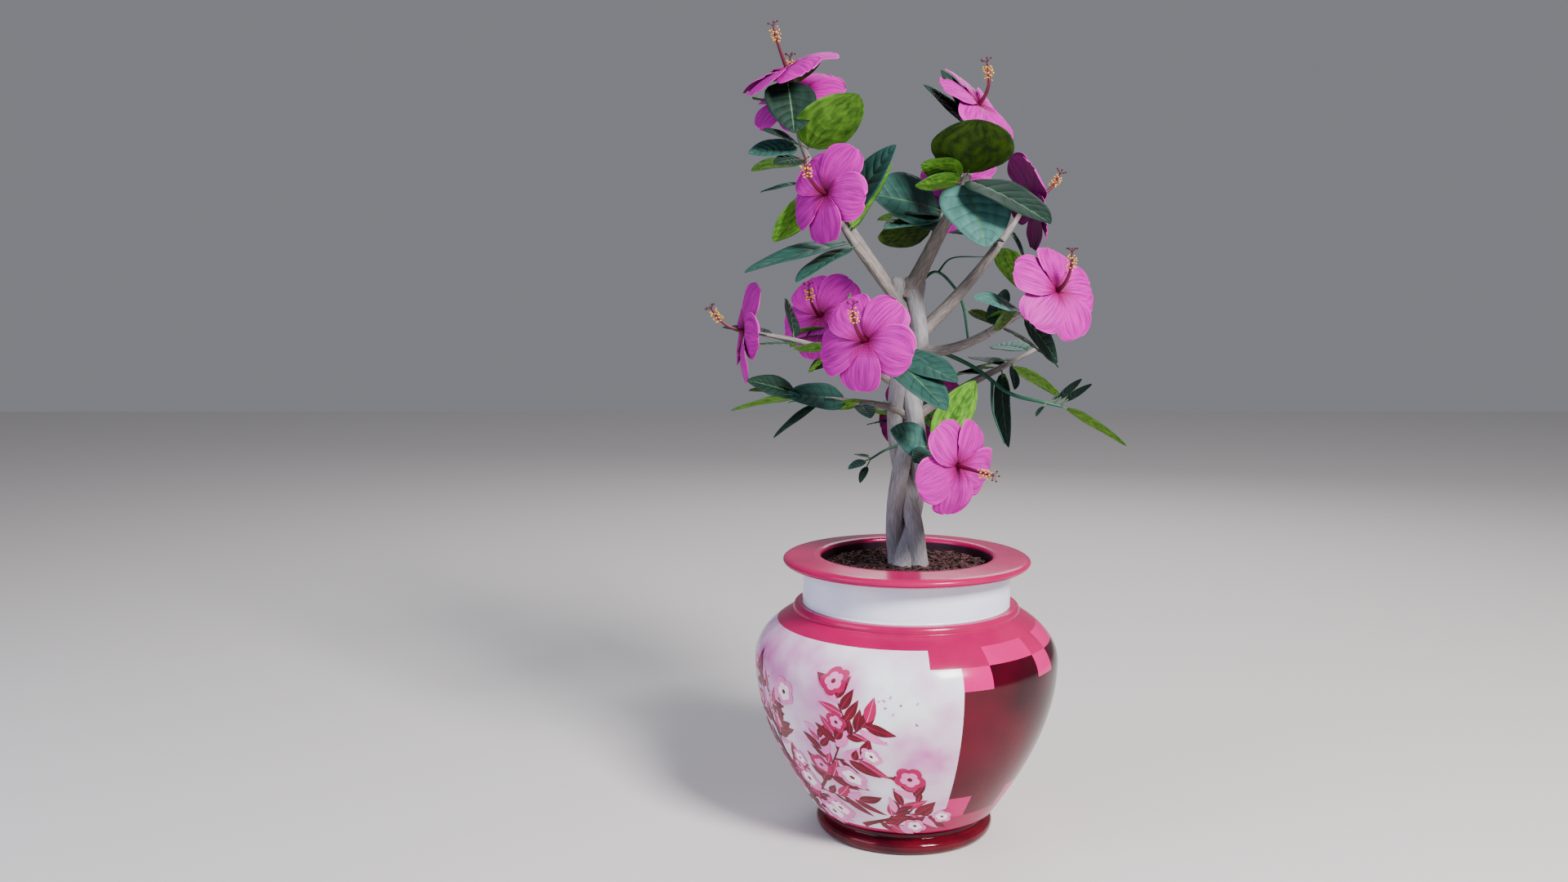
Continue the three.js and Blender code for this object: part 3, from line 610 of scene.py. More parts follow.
def between(pair, share):
    """The value this share of the way from the first of a pair to the second."""
    return pair[0] + (pair[1] - pair[0]) * share


def skin(centres, radii, sides, ridge=0.0, start=0.0):
    """A closed limb round a line of centres, with bark ridges along it. Gives corners, faces and
    each corner's place on the bark, round and along, in metres."""
    centres, radii = np.asarray(centres, dtype=float), np.asarray(radii, dtype=float)[:, None]
    ways = unit(np.gradient(centres, axis=0))
    run = run_along(centres)[:, None] + start
    normals = [unit(np.cross(ways[0], (0.0, 0.0, 1.0) if abs(ways[0][2]) < 0.9 else (1.0, 0.0, 0.0)))]
    for way in ways[1:]:
        normals.append(unit(normals[-1] - way * np.dot(normals[-1], way)))
    normals = np.array(normals)
    turn = np.linspace(0.0, 2 * math.pi, sides, endpoint=False)[None, :]
    # seven and twelve ridges that wander round the limb, over slow swellings that wind along it
    relief = (
        np.sin(7 * turn + 1.6 * np.sin(run / (19 * MM)) + 40 * start)
        + 0.8 * np.sin(12 * turn - 1.9 * np.sin(run / (13 * MM) + 1.0))
        + 0.7 * np.sin(3 * turn + run / (11 * MM)) + 0.6 * np.sin(2 * turn - run / (23 * MM))
    )
    reach = radii + ridge * relief * (radii / radii.max())
    corners = (
        centres[:, None, :] + (reach * np.cos(turn))[..., None] * normals[:, None, :]
        + (reach * np.sin(turn))[..., None] * np.cross(ways, normals)[:, None, :]
    ).reshape(-1, 3)
    bark_place = np.broadcast_arrays(np.cos(turn) * radii, np.sin(turn) * radii, run)
    last = (len(centres) - 1) * sides
    ends = [tuple(range(sides - 1, -1, -1)), tuple(range(last, last + sides))]
    return corners, ring_faces(len(centres), sides) + ends, np.stack(bark_place, axis=-1).reshape(-1, 3)


def bark(name, colour, deep, pale, streak_mm):
    """Smooth young bark: matt grey with darker lengthwise streaks and pale corky flecks."""
    made = surface(name, colour, Roughness=0.82, IOR=1.45)
    place = node(made, "ShaderNodeAttribute", attribute_name="bark_place").outputs["Vector"]
    fine = 1.0 / (streak_mm * MM)
    drawn = node(made, "ShaderNodeVectorMath", {0: place, 1: (fine, fine, 0.09 * fine)}, operation="MULTIPLY")
    streak = clouds(made, drawn.outputs[0], 1.0, 5.0)
    ramp = node(made, "ShaderNodeValToRGB", {"Fac": streak})
    stops = ramp.color_ramp.elements
    stops[0].position, stops[0].color = 0.34, linear(deep)
    stops[1].position, stops[1].color = 0.68, linear(pale)
    stops.new(0.5).color = linear(colour)
    lead(made, ramp.outputs["Color"], "Base Color")
    emboss(made, streak, 0.15, 0.3 * MM)
    return made


solid_trees = {}


def wood(piece_name, node_name, bark_skin, *limb):
    """A stem or bough in place of its solid. Leaves that grow later keep clear of it."""
    corners, faces, place = skin(*limb)
    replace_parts(make(piece_name, corners, faces, [bark_skin], marks={"bark_place": place}), node_name)
    solid_trees[node_name] = BVHTree.FromPolygons(corners.tolist(), faces)


grey_bark = bark("grey_bark", "#8A868A", "#757075", "#9E999D", 1.1)
for stem in range(3):
    base, top = SOIL_TOP - STEM_OVER, TRUNK_TOP + STEM_OVER
    heights = np.arange(base, top, BARK_STEP)
    turn = 2 * math.pi * (heights - SOIL_TOP) / PLAIT_PITCH + math.radians(PLAIT_START + 120.0 * stem)
    centres = np.stack([PLAIT_SWAY * np.sin(turn), PLAIT_DEPTH * np.sin(2 * turn), heights], axis=-1)
    radii = between(STEM_RADIUS, (heights - base) / (TRUNK_TOP - base))
    radii += ROOT_FLARE * np.clip(1.0 - (heights - base) / FLARE_HEIGHT, 0.0, 1.0) ** 2
    near_top = np.clip((top - heights) / TOP_ROUND, 0.02, 1.0)
    radii *= np.sqrt(1.0 - (1.0 - near_top) ** 2)
    name = f"stem_{stem + 1}"
    wood(f"plaited_{name}", name, grey_bark, centres, radii, STEM_SIDES, STEM_RIDGE, STEM_SHIFT * stem)

# The boughs.
# Side limbs of the same wood that grow out of the plait at all heights, each one taper that arches
# up to where its leaves begin, with a short swollen collar where it leaves the stems.
# Each leaves the trunk's axis at the height root and runs along its heading, in degrees round from
# +X, for its reach while it climbs its rise, in millimetres. A bow above 0 arches it upward, and
# radius is that of its root and of its tip.
Bough = namedtuple("Bough", "root heading reach rise bow radius")
BOUGHS = {
    "left_high": Bough(690, 193, 108, 150, 0, (8.5, 6)),
    "left_front": Bough(690, 207, 80, 90, 0, (8, 5.5)),
    "centre": Bough(715, -30, 60, 110, 4, (11, 7.5)),
    "back": Bough(705, 49, 60, 95, 0, (6.5, 5)),
    "right_high": Bough(655, 8, 118, 125, -8, (10, 6)),
    "right_front": Bough(645, -26, 110, 25, -10, (8, 5.5)),
    "right_low": Bough(550, 17, 92, 50, 2, (7, 5)),
    "left_mid": Bough(590, 189, 90, 50, 4, (7.5, 5)),
    "left_low": Bough(560, 208, 52, 16, 2, (6, 4.5)),
    "left_back": Bough(610, 140, 62, 35, 4, (6.5, 4.5)),
    "front": Bough(625, 246, 60, 20, 4, (6.5, 4.5)),
    "low_right": Bough(525, -63, 45, -2, 3, (5.5, 4)),
    "low_back": Bough(535, 88, 46, 8, 2, (5.5, 4)),
}
BOUGH_SIDES = 32
BOUGH_STEPS = 60
BOUGH_RIDGE = 0.22 * MM
BOUGH_SHIFT = 0.37  # metres of bark for each letter of its name, which sets where its ridges begin
COLLAR_SWELL = 0.35
COLLAR_SHARE = 0.4  # of the bough's length


def way_of(heading, lift):
    """The direction with this heading, in degrees round from +X, and this lift above level."""
    around, climb = math.radians(heading), math.radians(lift)
    return np.array([math.cos(around) * math.cos(climb), math.sin(around) * math.cos(climb), math.sin(climb)])


def bough_line(bough):
    """The bough's three control points."""
    root = np.array([0.0, 0.0, bough.root]) * MM
    tip = root + way_of(bough.heading, 0) * bough.reach * MM + np.array([0.0, 0.0, bough.rise * MM])
    middle = (root + tip) / 2.0 + np.array([0.0, 0.0, 2 * bough.bow * MM])
    return root, middle, tip


def slim(radius, steps, swell=0.0):
    """Radii from root to tip in metres, with the root swollen by this share."""
    along = np.linspace(0.0, 1.0, steps + 1)
    swollen = 1.0 + swell * np.clip(1.0 - along / COLLAR_SHARE, 0.0, 1.0) ** 2
    return between(radius, along) * MM * swollen


# the stems' bark, painted browner and darker than on the stems as painted shade where the crown shades the
# boughs
shaded_bough_bark = bark("shaded_bough_bark", "#7A716E", "#5F5856", "#928986", 1.1)
for name, bough in BOUGHS.items():
    centres = bezier(*bough_line(bough), steps=BOUGH_STEPS)
    radii = slim(bough.radius, BOUGH_STEPS, COLLAR_SWELL)
    shift = BOUGH_SHIFT * len(name)
    wood(f"limb_{name}", f"bough_{name}", shaded_bough_bark, centres, radii, BOUGH_SIDES, BOUGH_RIDGE, shift)

# The leaves.
# Broad pointed hibiscus leaves on short stalks: dull blue-green above with sunk side veins and a
# pale rib, and a livelier yellow-green, mottled where the light comes through, on the back.
STALK = 14 * MM
STALK_RADIUS = 0.9 * MM
STALK_SAG = 0.4 * MM
STALK_INTO_LEAF = 2 * MM
STALK_STEPS, STALK_SIDES = 4, 6
LEAF_DROOP = 0.1
LEAF_FOLD = 0.12
LEAF_ACROSS = (-1.0, -0.86, -0.7, -0.54, -0.4, -0.26, -0.13, -0.03)  # shares of its half breadth
LEAF_THICK = 0.5 * MM
LEAF_BASE, LEAF_POINT = 0.45, 0.72  # powers that round its base and draw out its point
LEAF_PEAK = 0.455  # about the widest that those two powers give
LEAF_LEAST = 0.35 * MM  # half breadth at its very tip
LEAF_LOBES = 0.05  # how far its sides reach back past the stalk's end, as a share of its length
VEIN_PAIRS = 7
VEIN_SLANT = 0.95
VEIN_PROFILE = ((0.0, 0.0), (0.07, 0.45), (0.5, 1.0), (0.93, 0.45))  # place between two veins, and rise there
PADDING = 1.1 * MM  # how far the blade stands up between its veins
PADDED = 0.2  # the blade is flat where its outline is narrower than this share
GROOVE_DEEP, GROOVE_WIDE = 0.6 * MM, 0.09
MARGIN_WAVE = 0.035  # height as a share of the half breadth
RIPPLE_STEP = 2.4  # radians from one leaf's waves to the next leaf's


def sheet(top, face, thick):
    """Closes a grid of points into a thin blade. Gives its corners, its faces, and for each face
    0 on the upper side, 1 on the back and 2 on the rim."""
    rows, columns = top.shape[:2]
    corners = np.concatenate([top.reshape(-1, 3), (top - face * thick).reshape(-1, 3)])
    below = rows * columns
    faces = []
    for a in range(below - columns):
        b, d, e = a + 1, a + columns, a + columns + 1
        if b % columns:
            faces += [(a, b, e, d), (below + d, below + e, below + b, below + a)]
    sides = [0, 1] * (len(faces) // 2)
    grid = np.arange(below).reshape(rows, columns)
    rim = np.concatenate([grid[0], grid[1:, -1], grid[-1, -2::-1], grid[-2:0:-1, 0]]).tolist()
    faces += [(after, here, below + here, below + after) for here, after in zip(rim, rim[1:] + rim[:1])]
    return corners, faces, sides + [2] * len(rim)


def both_sides(places):
    """Places across one half of a blade and across the other, as one row."""
    return np.array(sorted({*places, *(-place for place in places)}))[None, :]


def spread(root, ways, shares):
    """A grid of points from a root, each so far along these three directions."""
    return root + sum(share[..., None] * way for share, way in zip(np.broadcast_arrays(*shares), ways))


def blade_marks(u, v, ripple):
    """Each corner's place along and across its blade and the blade's own turn, for both sides."""
    mark = np.stack(np.broadcast_arrays(u, v, ripple), axis=-1).reshape(-1, 3)
    return np.concatenate([mark, mark])


def leaf(base, row, ripple):
    """A blade and its stalk's line from a table row. Ripple is a turn that sets the margin's waves.
    The blade's rows run out along its side veins. Faces of the rib are numbered 3, of a vein 4."""
    _, heading, lift, length, roll, breadth = row[:6]
    way = way_of(heading, lift)
    level = unit(np.cross(way, (0.0, 0.0, 1.0)))
    upright = np.cross(level, way)
    tilt = math.radians(roll)
    side = level * math.cos(tilt) + upright * math.sin(tilt)
    face = np.cross(side, way)
    blade = length * MM - STALK
    rows = [(pair + place, high) for pair in range(VEIN_PAIRS) for place, high in VEIN_PROFILE]
    along, pad = np.array([*rows, (VEIN_PAIRS, 0.0)]).T[:, :, None]
    along = along / VEIN_PAIRS
    v = both_sides(LEAF_ACROSS)
    u = along + VEIN_SLANT * np.abs(v) * along * (1.0 - along)
    shape = np.clip(u, 1e-4, 1) ** LEAF_BASE * np.clip(1.0 - u, 0, 1) ** LEAF_POINT / LEAF_PEAK
    half_width = np.maximum(blade * breadth / 2.0 * shape, LEAF_LEAST)
    padding = PADDING * pad * np.sqrt(np.clip(1 - np.abs(v), 0, 1)) * (shape > PADDED)
    groove = -GROOVE_DEEP * np.exp(-(v / GROOVE_WIDE) ** 2)
    wave = MARGIN_WAVE * half_width * np.abs(v) ** 3 * np.sin(9.0 * u + 2.0 * v + ripple)
    rise = LEAF_FOLD * half_width * np.abs(v) - LEAF_DROOP * blade * u ** 2 + padding + groove + wave
    forward = STALK + blade * u - LEAF_LOBES * blade * np.abs(v) * (1 - u)
    top = spread(base, (way, side, face), (forward, half_width * v, rise))
    corners, faces, sides = sheet(top, face, LEAF_THICK)
    across = v.size - 1
    # faces along each side vein take the darker vein tone: painted shade in the sunk vein
    for number in range(len(rows)):
        if number % len(VEIN_PROFILE) in (0, len(VEIN_PROFILE) - 1):
            for step in range(1, across - 1):
                sides[2 * (number * across + step)] = 4
        sides[2 * (number * across + len(LEAF_ACROSS) - 1)] = 3
    stalk_line = base, base + way * STALK * 0.5 - upright * STALK_SAG, base + way * (STALK + STALK_INTO_LEAF)
    return (corners, faces, sides, blade_marks(u, v, ripple)), stalk_line


def leaf_skin(name, colour, deep, patch_share, roughness):
    """Leaf surface: waxy above and duller below, mottled in patches of this share of the leaf."""
    made = surface(name, colour, Roughness=roughness, IOR=1.4, Specular_IOR_Level=0.22)
    blade = node(made, "ShaderNodeAttribute", attribute_name="blade").outputs["Vector"]
    blend(made, clouds(made, blade, 1.0 / patch_share, 4.0), 0.36, 0.64, deep, colour)
    return made


LEAF_MATERIALS = [
    leaf_skin("teal_leaf_face", "#2C524B", "#22433D", 0.3, 0.5),
    # the upper side in painted shade, for leaves in the shadow of others
    leaf_skin("shaded_leaf_face", "#1A332A", "#11251D", 0.3, 0.6),
    # the upper side in painted light, for leaves that the light falls full on
    leaf_skin("lit_leaf_face", "#45706A", "#365C56", 0.3, 0.5),
    # the back's own yellow-green, painted brighter by the light shining through it
    leaf_skin("lime_leaf_back", "#6AA032", "#3A6A1C", 0.18, 0.6),
    # the back in painted shade
    leaf_skin("shaded_leaf_back", "#3E5812", "#1C340A", 0.18, 0.6),
    leaf_skin("leaf_rib", "#527452", "#3E5C40", 0.3, 0.5),
    # each face tone a little darker along the sunk side veins, as painted shade in the veins
    leaf_skin("teal_leaf_vein", "#24453E", "#1B3833", 0.3, 0.5),
    leaf_skin("shaded_leaf_vein", "#14291F", "#0D1E17", 0.3, 0.6),
    leaf_skin("lit_leaf_vein", "#3B625C", "#2F514B", 0.3, 0.5),
]
# the tones by number: teal is the upper side's own colour; deep and olive are the upper side and the back in
# painted shade; pale is the upper side in painted light; lime is the back's yellow-green, painted brighter by
# light shining through it; then the rib, and the vein tones, which paint shade in the sunk veins
TEAL, SHADED, LIT, LIME, SHADED_BACK, RIB, FIRST_VEIN_SHADE = range(7)
# A shoot is its heading, lift and length. A bloom is its place along the shoot, its stem's heading,
# lift and length, the heading and lift that it faces, its spin and how far its column bends. A leaf
# is its place along the shoot, heading, lift, length with its stalk, roll, breadth to length, and
# the tones of its face and back, chosen to paint the light and shade that fall on it. Fill is a
# number of further leaves, their middle heading and lift.
SPRAYS = {
    "left_high": {
        "shoot": (176, 71, 173),
        "blooms": [(1, 20, -40, 4, 208, 64, 10, 0.1), (0.5, 94, 47, 82, 238, 48, 30, 0.4)],
        "leaves": [
            (0.95, -80, -50, 92, 0, 0.85, SHADED, SHADED_BACK), (0.42, -50, 35, 120, 25, 0.72, TEAL, LIME),
            (0.88, -5, 40, 50, 35, 0.45, SHADED, SHADED_BACK), (0.46, -130, 15, 75, 35, 0.5, SHADED, SHADED_BACK),
            (0.46, -150, -5, 78, 40, 0.55, TEAL, SHADED_BACK), (0.36, -130, -5, 65, 25, 0.6, SHADED, SHADED_BACK),
            (0.2, -130, 5, 70, -30, 0.6, TEAL, LIME), (0.16, 170, -4, 78, 15, 0.45, TEAL, LIME),
            (0.06, 165, -38, 92, -40, 0.6, TEAL, LIME),
        ],
        "fill": (2, 80, 15),
    },
    "left_front": {
        "shoot": (226, 49, 77),
        "blooms": [(1, 238, 30, 10, 224, 12, 10, 0.6)],
        "leaves": [
            (0.5, -35, 55, 120, -60, 0.62, TEAL, SHADED_BACK), (0.3, 20, 60, 105, 45, 0.6, TEAL, LIME),
            (0.1, -160, -10, 150, 10, 0.5, TEAL, LIME), (0.02, -140, -20, 110, 0, 0.5, TEAL, LIME),
        ],
        "fill": (1, 60, 40),
    },
    "centre": {
        "shoot": (17, 76, 131),
        "blooms": [(1, 17, 76, 6, -34, 40, 20, 0.7)],
        "leaves": [
            (0.38, -90, 32, 130, 5, 0.88, TEAL, SHADED_BACK), (0.34, -80, -40, 120, -5, 0.84, LIT, LIME),
            (0.36, -45, -20, 140, -10, 0.66, SHADED, SHADED_BACK), (0.32, -150, 0, 80, -35, 0.55, TEAL, LIME),
            (0.36, -145, 15, 80, -40, 0.6, TEAL, LIME), (0.8, 180, 47, 90, 30, 0.5, SHADED, SHADED_BACK),
            (0.85, -180, 62, 85, 40, 0.5, SHADED, SHADED_BACK),
        ],
        "fill": (2, 60, 10),
    },
    "back": {
        "shoot": (63, 45, 78),
        "blooms": [(1, 63, 30, 8, 240, 25, 0, 0.6)],
        "leaves": [
            (0.5, -145, 12, 120, 58, 0.86, TEAL, LIME), (0.36, -140, -5, 105, 15, 0.6, LIT, LIME),
            (0.4, -135, 5, 75, 20, 0.6, SHADED, SHADED_BACK), (0.08, -155, -5, 95, -60, 0.62, TEAL, SHADED_BACK),
        ],
        "fill": (4, 90, -5),
    },
    "right_high": {
        "shoot": (29, 50, 77),
        "blooms": [(1, 29, 40, 6, 10, 14, 15, 0.5)],
        "leaves": [
            (0.2, -130, 5, 80, 30, 0.6, SHADED, SHADED_BACK), (0.1, 55, -40, 85, 0, 0.62, TEAL, LIME),
            (0.4, 50, -40, 80, -60, 0.55, SHADED, SHADED_BACK),
        ],
        "fill": (3, 95, 10),
    },
    "right_front": {
        "shoot": (-33, 31, 112),
        "blooms": [(1, -150, -35, 8, -59, 24, 20, 0.7)],
        "leaves": [
            (0.5, -140, 15, 90, 30, 0.6, LIT, LIME), (0.1, 75, 45, 75, 35, 0.62, SHADED, SHADED_BACK),
            (0.4, -125, -5, 70, -60, 0.62, TEAL, SHADED_BACK), (0.45, 30, -40, 95, -60, 0.62, SHADED, SHADED_BACK),
            (0.15, 25, -25, 110, -20, 0.5, SHADED, SHADED_BACK),
        ],
        "fill": (1, 60, -20),
    },
    "right_low": {
        "shoot": (18, 25, 123),
        "blooms": [],
        "leaves": [
            (0.5, 25, -25, 100, 20, 0.3, TEAL, LIME), (0.42, -95, -70, 110, -60, 0.4, SHADED, SHADED_BACK),
            (0.44, 115, 10, 85, 0, 0.55, SHADED, SHADED_BACK), (0.55, -90, -35, 55, 45, 0.5, SHADED, SHADED_BACK),
            (0.4, -70, -55, 60, 80, 0.45, TEAL, LIME), (0.9, 60, 30, 80, 20, 0.55, TEAL, SHADED_BACK),
        ],
        "fill": (4, 100, -5),
    },
    "left_mid": {
        "shoot": (185, 14, 124),
        "blooms": [(1, 185, 10, 4, 192, 6, 10, 0.5)],
        "leaves": [
            (0.55, 95, 45, 80, -55, 0.5, SHADED, SHADED_BACK), (0.1, -135, 10, 75, -25, 0.5, TEAL, LIME),
            (0.02, -85, 60, 95, -60, 0.5, TEAL, LIME),
        ],
        "fill": (2, 110, 0),
    },
    "left_low": {
        "shoot": (194, 7, 118),
        "blooms": [],
        "leaves": [
            (0.85, -165, 20, 75, 40, 0.65, SHADED, SHADED_BACK), (0.3, -160, 10, 90, 40, 0.65, TEAL, SHADED_BACK),
            (0.8, -175, -5, 100, -20, 0.4, TEAL, LIME), (0.6, -165, -30, 85, 5, 0.4, SHADED, SHADED_BACK),
            (0.05, -155, 0, 60, -40, 0.5, TEAL, LIME), (0.2, -80, -10, 60, -5, 0.55, TEAL, SHADED_BACK),
        ],
        "fill": (2, 110, 0),
    },
    "left_back": {
        "shoot": (133, 24, 96),
        "blooms": [(1, 133, 25, 8, 238, 18, 0, 0.6)],
        "leaves": [(0.3, 150, -25, 85, 45, 0.6, SHADED, SHADED_BACK), (0.5, 65, 50, 80, 25, 0.6, TEAL, LIME)],
        "fill": (3, 100, -15),
    },
    "front": {
        "shoot": (248, 10, 104),
        "blooms": [(1, 248, 10, 6, 238, 14, 0, 0.7)],
        "leaves": [
            (0.35, -45, -30, 120, -10, 0.66, TEAL, LIME), (0.1, -40, -14, 105, -20, 0.62, TEAL, SHADED_BACK),
        ],
        "fill": (0, 0, 0),
    },
    "low_right": {
        "shoot": (-70, -10, 83),
        "blooms": [(1, -67, -5, 6, -51, -6, 0, 0)],
        "leaves": [
            (0.4, 15, 65, 105, 75, 0.66, TEAL, LIME), (0.2, -140, 25, 75, 75, 0.74, LIT, LIME),
            (0.3, -115, 0, 70, 30, 0.6, TEAL, SHADED_BACK),
        ],
        "fill": (1, 40, 0),
    },
    "low_back": {
        "shoot": (65, 3, 69),
        "blooms": [(1, 65, 5, 6, 80, 0, 0, 0.6)],
        "leaves": [],
        "fill": (5, 90, 10),
    },
}
# The thin green shoots that spring from the stems, as their route, radii, leaves and forks.
VINES = {
    "sprout_left": {
        "route": [(-10, -4, 520), (-30, -12, 514), (-50, -20, 503)],
        "radius": (1.8, 1.4),
        "leaves": [
            (0.9, -150, -15, 40, 20, 0.6, TEAL, SHADED_BACK), (0.95, 120, 5, 40, 0, 0.6, TEAL, SHADED_BACK),
            (1, -126, -45, 38, 0, 0.5, SHADED, SHADED_BACK),
        ],
        "forks": [],
    },
    "vine_right": {
        "route": [(4, 2, 655), (43, 20, 643), (92, 26, 620), (135, 8, 588), (177, -4, 577), (204, -4, 571)],
        "radius": (3.2, 2.2),
        "leaves": [
            (0.98, -36, -22, 106, 45, 0.24, TEAL, LIME), (0.9, -45, 42, 58, 45, 0.24, SHADED, SHADED),
            (0.97, -41, 36, 58, 45, 0.24, SHADED, SHADED), (0.84, -120, -16, 42, -20, 0.35, SHADED, SHADED_BACK),
            (0.86, 54, 20, 44, 20, 0.35, SHADED, SHADED_BACK),
        ],
        "forks": [(0.5, (112, -6, 566), (127, -12, 522))],
    },
    "vine_upper": {
        "route": [(6, 12, 722), (38, 42, 748), (66, 60, 728), (80, 64, 700), (87, 62, 655)],
        "radius": (2.4, 1.6),
        "leaves": [(0.75, 30, -20, 60, 20, 0.5, SHADED, SHADED_BACK), (0.97, -60, -50, 55, 20, 0.45, SHADED, SHADED_BACK)],
        "forks": [(0.3, (62, 50, 766), (105, 54, 768))],
    },
}
GOLDEN_ANGLE = 137.5
SEED, SEED_FACTOR, SEED_MODULUS = 7, 16807, 2147483647
FILL_FAN = 150  # degrees over which the leaves of a spray's far side spread
FILL_ALONG = (0.15, 0.75)  # each pair is the least, and how much more there can be
FILL_LIFT = 30
FILL_LENGTH = (70, 25)
FILL_ROLL = 40
FILL_BREADTH = (0.55, 0.15)
SHOOT_LEAD = 0.45  # share of its length for which a shoot keeps its bough's direction
LINE_PLACES = 100
ROUTE_STEPS = 12
HIGH_ROOT = 600  # leaves on boughs that spring above this height, in millimetres, are the upper piece


def seeded(state):
    """Endless seeded numbers from 0 to 1 for the leaves that fill the far side."""
    while True:
        state = state * SEED_FACTOR % SEED_MODULUS
        yield state / SEED_MODULUS


fill_dice = seeded(SEED)


def fill_leaves(count, middle, lift):
    """Rows for the leaves that fill a spray's far side, fanned by the golden angle."""
    rows = []
    for index in range(count):
        heading = middle + (index + 1) * GOLDEN_ANGLE % FILL_FAN - FILL_FAN / 2
        rows.append((
            FILL_ALONG[0] + FILL_ALONG[1] * (index + 0.5) / count, heading,
            lift + FILL_LIFT * (next(fill_dice) - 0.5), FILL_LENGTH[0] + FILL_LENGTH[1] * next(fill_dice),
            FILL_ROLL * (next(fill_dice) - 0.5), FILL_BREADTH[0] + FILL_BREADTH[1] * next(fill_dice),
            # each far-side leaf takes a face tone and a back in turn, the painted shade and painted light
            # tones among them
            index % 3, LIME + index % 2,
        ))
    return rows


def shoot_line(bough, spray):
    """The shoot's three control points, leaving the bough's tip the way that the bough runs."""
    _, middle, tip = bough_line(bough)
    heading, lift, length = spray["shoot"]
    lead_on = unit(tip - middle) * SHOOT_LEAD * length * MM
    return tip, tip + lead_on, tip + way_of(heading, lift) * length * MM


def through(route):
    """A smooth line through the points of a route in millimetres, and a function for a place on it."""
    knots = np.array(route, dtype=float) * MM
    knots = np.vstack([2 * knots[0] - knots[1], knots, 2 * knots[-1] - knots[-2]])
    line = []
    for a, b, c, d in zip(knots, knots[1:], knots[2:], knots[3:]):
        for k in np.linspace(0.0, 1.0, ROUTE_STEPS, endpoint=False):
            line.append(0.5 * (
                2 * b + (c - a) * k + (2 * a - 5 * b + 4 * c - d) * k ** 2 + (3 * b - a - 3 * c + d) * k ** 3
            ))
    line = np.array([*line, knots[-2]])
    return line, lambda k: line[round(k * (len(line) - 1))]


class Heap:
    """Corners, faces, face materials and corner marks of one joined piece as it grows."""

    def __init__(self):
        self.corners, self.faces, self.picks, self.marks, self.rim, self.count = [], [], [], [], [], 0

    def add(self, corners, faces, picks=0, marks=None, rim=None):
        """Adds corners and faces as they are."""
        self.corners.append(corners)
        self.faces += [tuple(corner + self.count for corner in face) for face in faces]
        self.picks += [picks] * len(faces) if isinstance(picks, int) else picks
        self.rim += [False] * len(faces) if rim is None else rim
        self.marks.append(np.zeros((len(corners), 3)) if marks is None else marks)
        self.count += len(corners)

    def limb(self, line, radii, sides, ridge=0.0, pick=0):
        """Adds a closed limb round a line, and gives its corners and faces."""
        corners, faces, place = skin(line, np.broadcast_to(radii, len(line)), sides, ridge)
        self.add(corners, faces, pick, place)
        return corners, faces

    def make(self, name, materials, mark=None):
        """Makes the piece. Its materials read the corners' marks by the name given."""
        marks = {mark: np.concatenate(self.marks)} if mark else None
        corners = np.concatenate(self.corners)
        return make(name, corners, self.faces, materials, self.picks, marks, self.rim)


upper_leaves, lower_leaves, stalk_heap = Heap(), Heap(), Heap()
leaf_numbers = itertools.count(1)


def grow_leaves(node_name, place_on, rows, leaf_heap):
    """Adds the leaves of one spray, except those that would touch a limb or another spray."""
    grown = []
    for row in rows:
        (corners, faces, sides, marks), stalk = leaf(place_on(row[0]), row, RIPPLE_STEP * next(leaf_numbers))
        tree = BVHTree.FromPolygons(corners.tolist(), faces)
        if any(tree.overlap(other) for name, other in solid_trees.items() if name != node_name):
            continue
        face, back = row[6:]
        tones = [(face, back, face, RIB, FIRST_VEIN_SHADE + face)[side] for side in sides]
        leaf_heap.add(corners, faces, tones, marks, [side == 2 for side in sides])
        stalk_heap.limb(bezier(*stalk, steps=STALK_STEPS), STALK_RADIUS, STALK_SIDES)
        grown.append((corners, faces))
    return grown


def block_off(name, parts):
    """Later leaves keep clear of these parts of a spray."""
    heap = Heap()
    for part in parts:
        heap.add(*part)
    solid_trees[name] = BVHTree.FromPolygons(np.concatenate(heap.corners).tolist(), heap.faces)


# The blooms.
# Single hibiscus flowers as wide as a hand: five thin satiny petals, each over the next, round a
# funnel, with a long bent column that carries yellow pollen knobs and ends in five dark pads.
BLOOM_RADIUS = 64 * MM
PETALS = 5
PETAL_BREADTH = 62 * MM
PETAL_THICK = 0.5 * MM
PETAL_ALONG = 22
PETAL_ACROSS = (-1.0, -0.965, -0.85, -0.7, -0.55, -0.4, -0.26, -0.13, 0.0)
PETAL_START, PETAL_BROAD, PETAL_END = 0.04, 0.68, 0.335  # its narrow base, its length and its round end
PETAL_ROUNDS = (0.85, 2.4)  # powers that swell its base and round its end
PETAL_RISE, PETAL_CURL = 0.25, 0.33  # how far it climbs out of the throat and curls back
PETAL_LAP = (0.1, 0.04)  # one side stands over the petal beside it
PETAL_HOLLOW = 0.1
PETAL_NICKS = 0.014  # unevenness of its end
PETAL_SIZE = (0.93, 1.04)
PETAL_TURN = 4  # degrees
RUFFLE, PLEAT = 1.7 * MM, 0.35 * MM
RUFFLE_FROM = 0.7
THROAT_RINGS = 5  # rows of faces that lighten from the dark throat outward
COLUMN_LENGTH = 58 * MM
COLUMN_RADIUS = (2.9, 1.4)
COLUMN_STEPS, COLUMN_SIDES = 24, 12
COLUMN_KNEE = 0.5  # share of the column that runs straight out
COLUMN_SHORTENS, COLUMN_RISES = 0.4, 0.75
ANTHERS = 30
ANTHERS_FROM, ANTHERS_OVER = 0.66, 0.3  # shares of the column
ANTHER_REACH, ANTHER_LEAN = (3.5, 6.5), 3  # millimetres
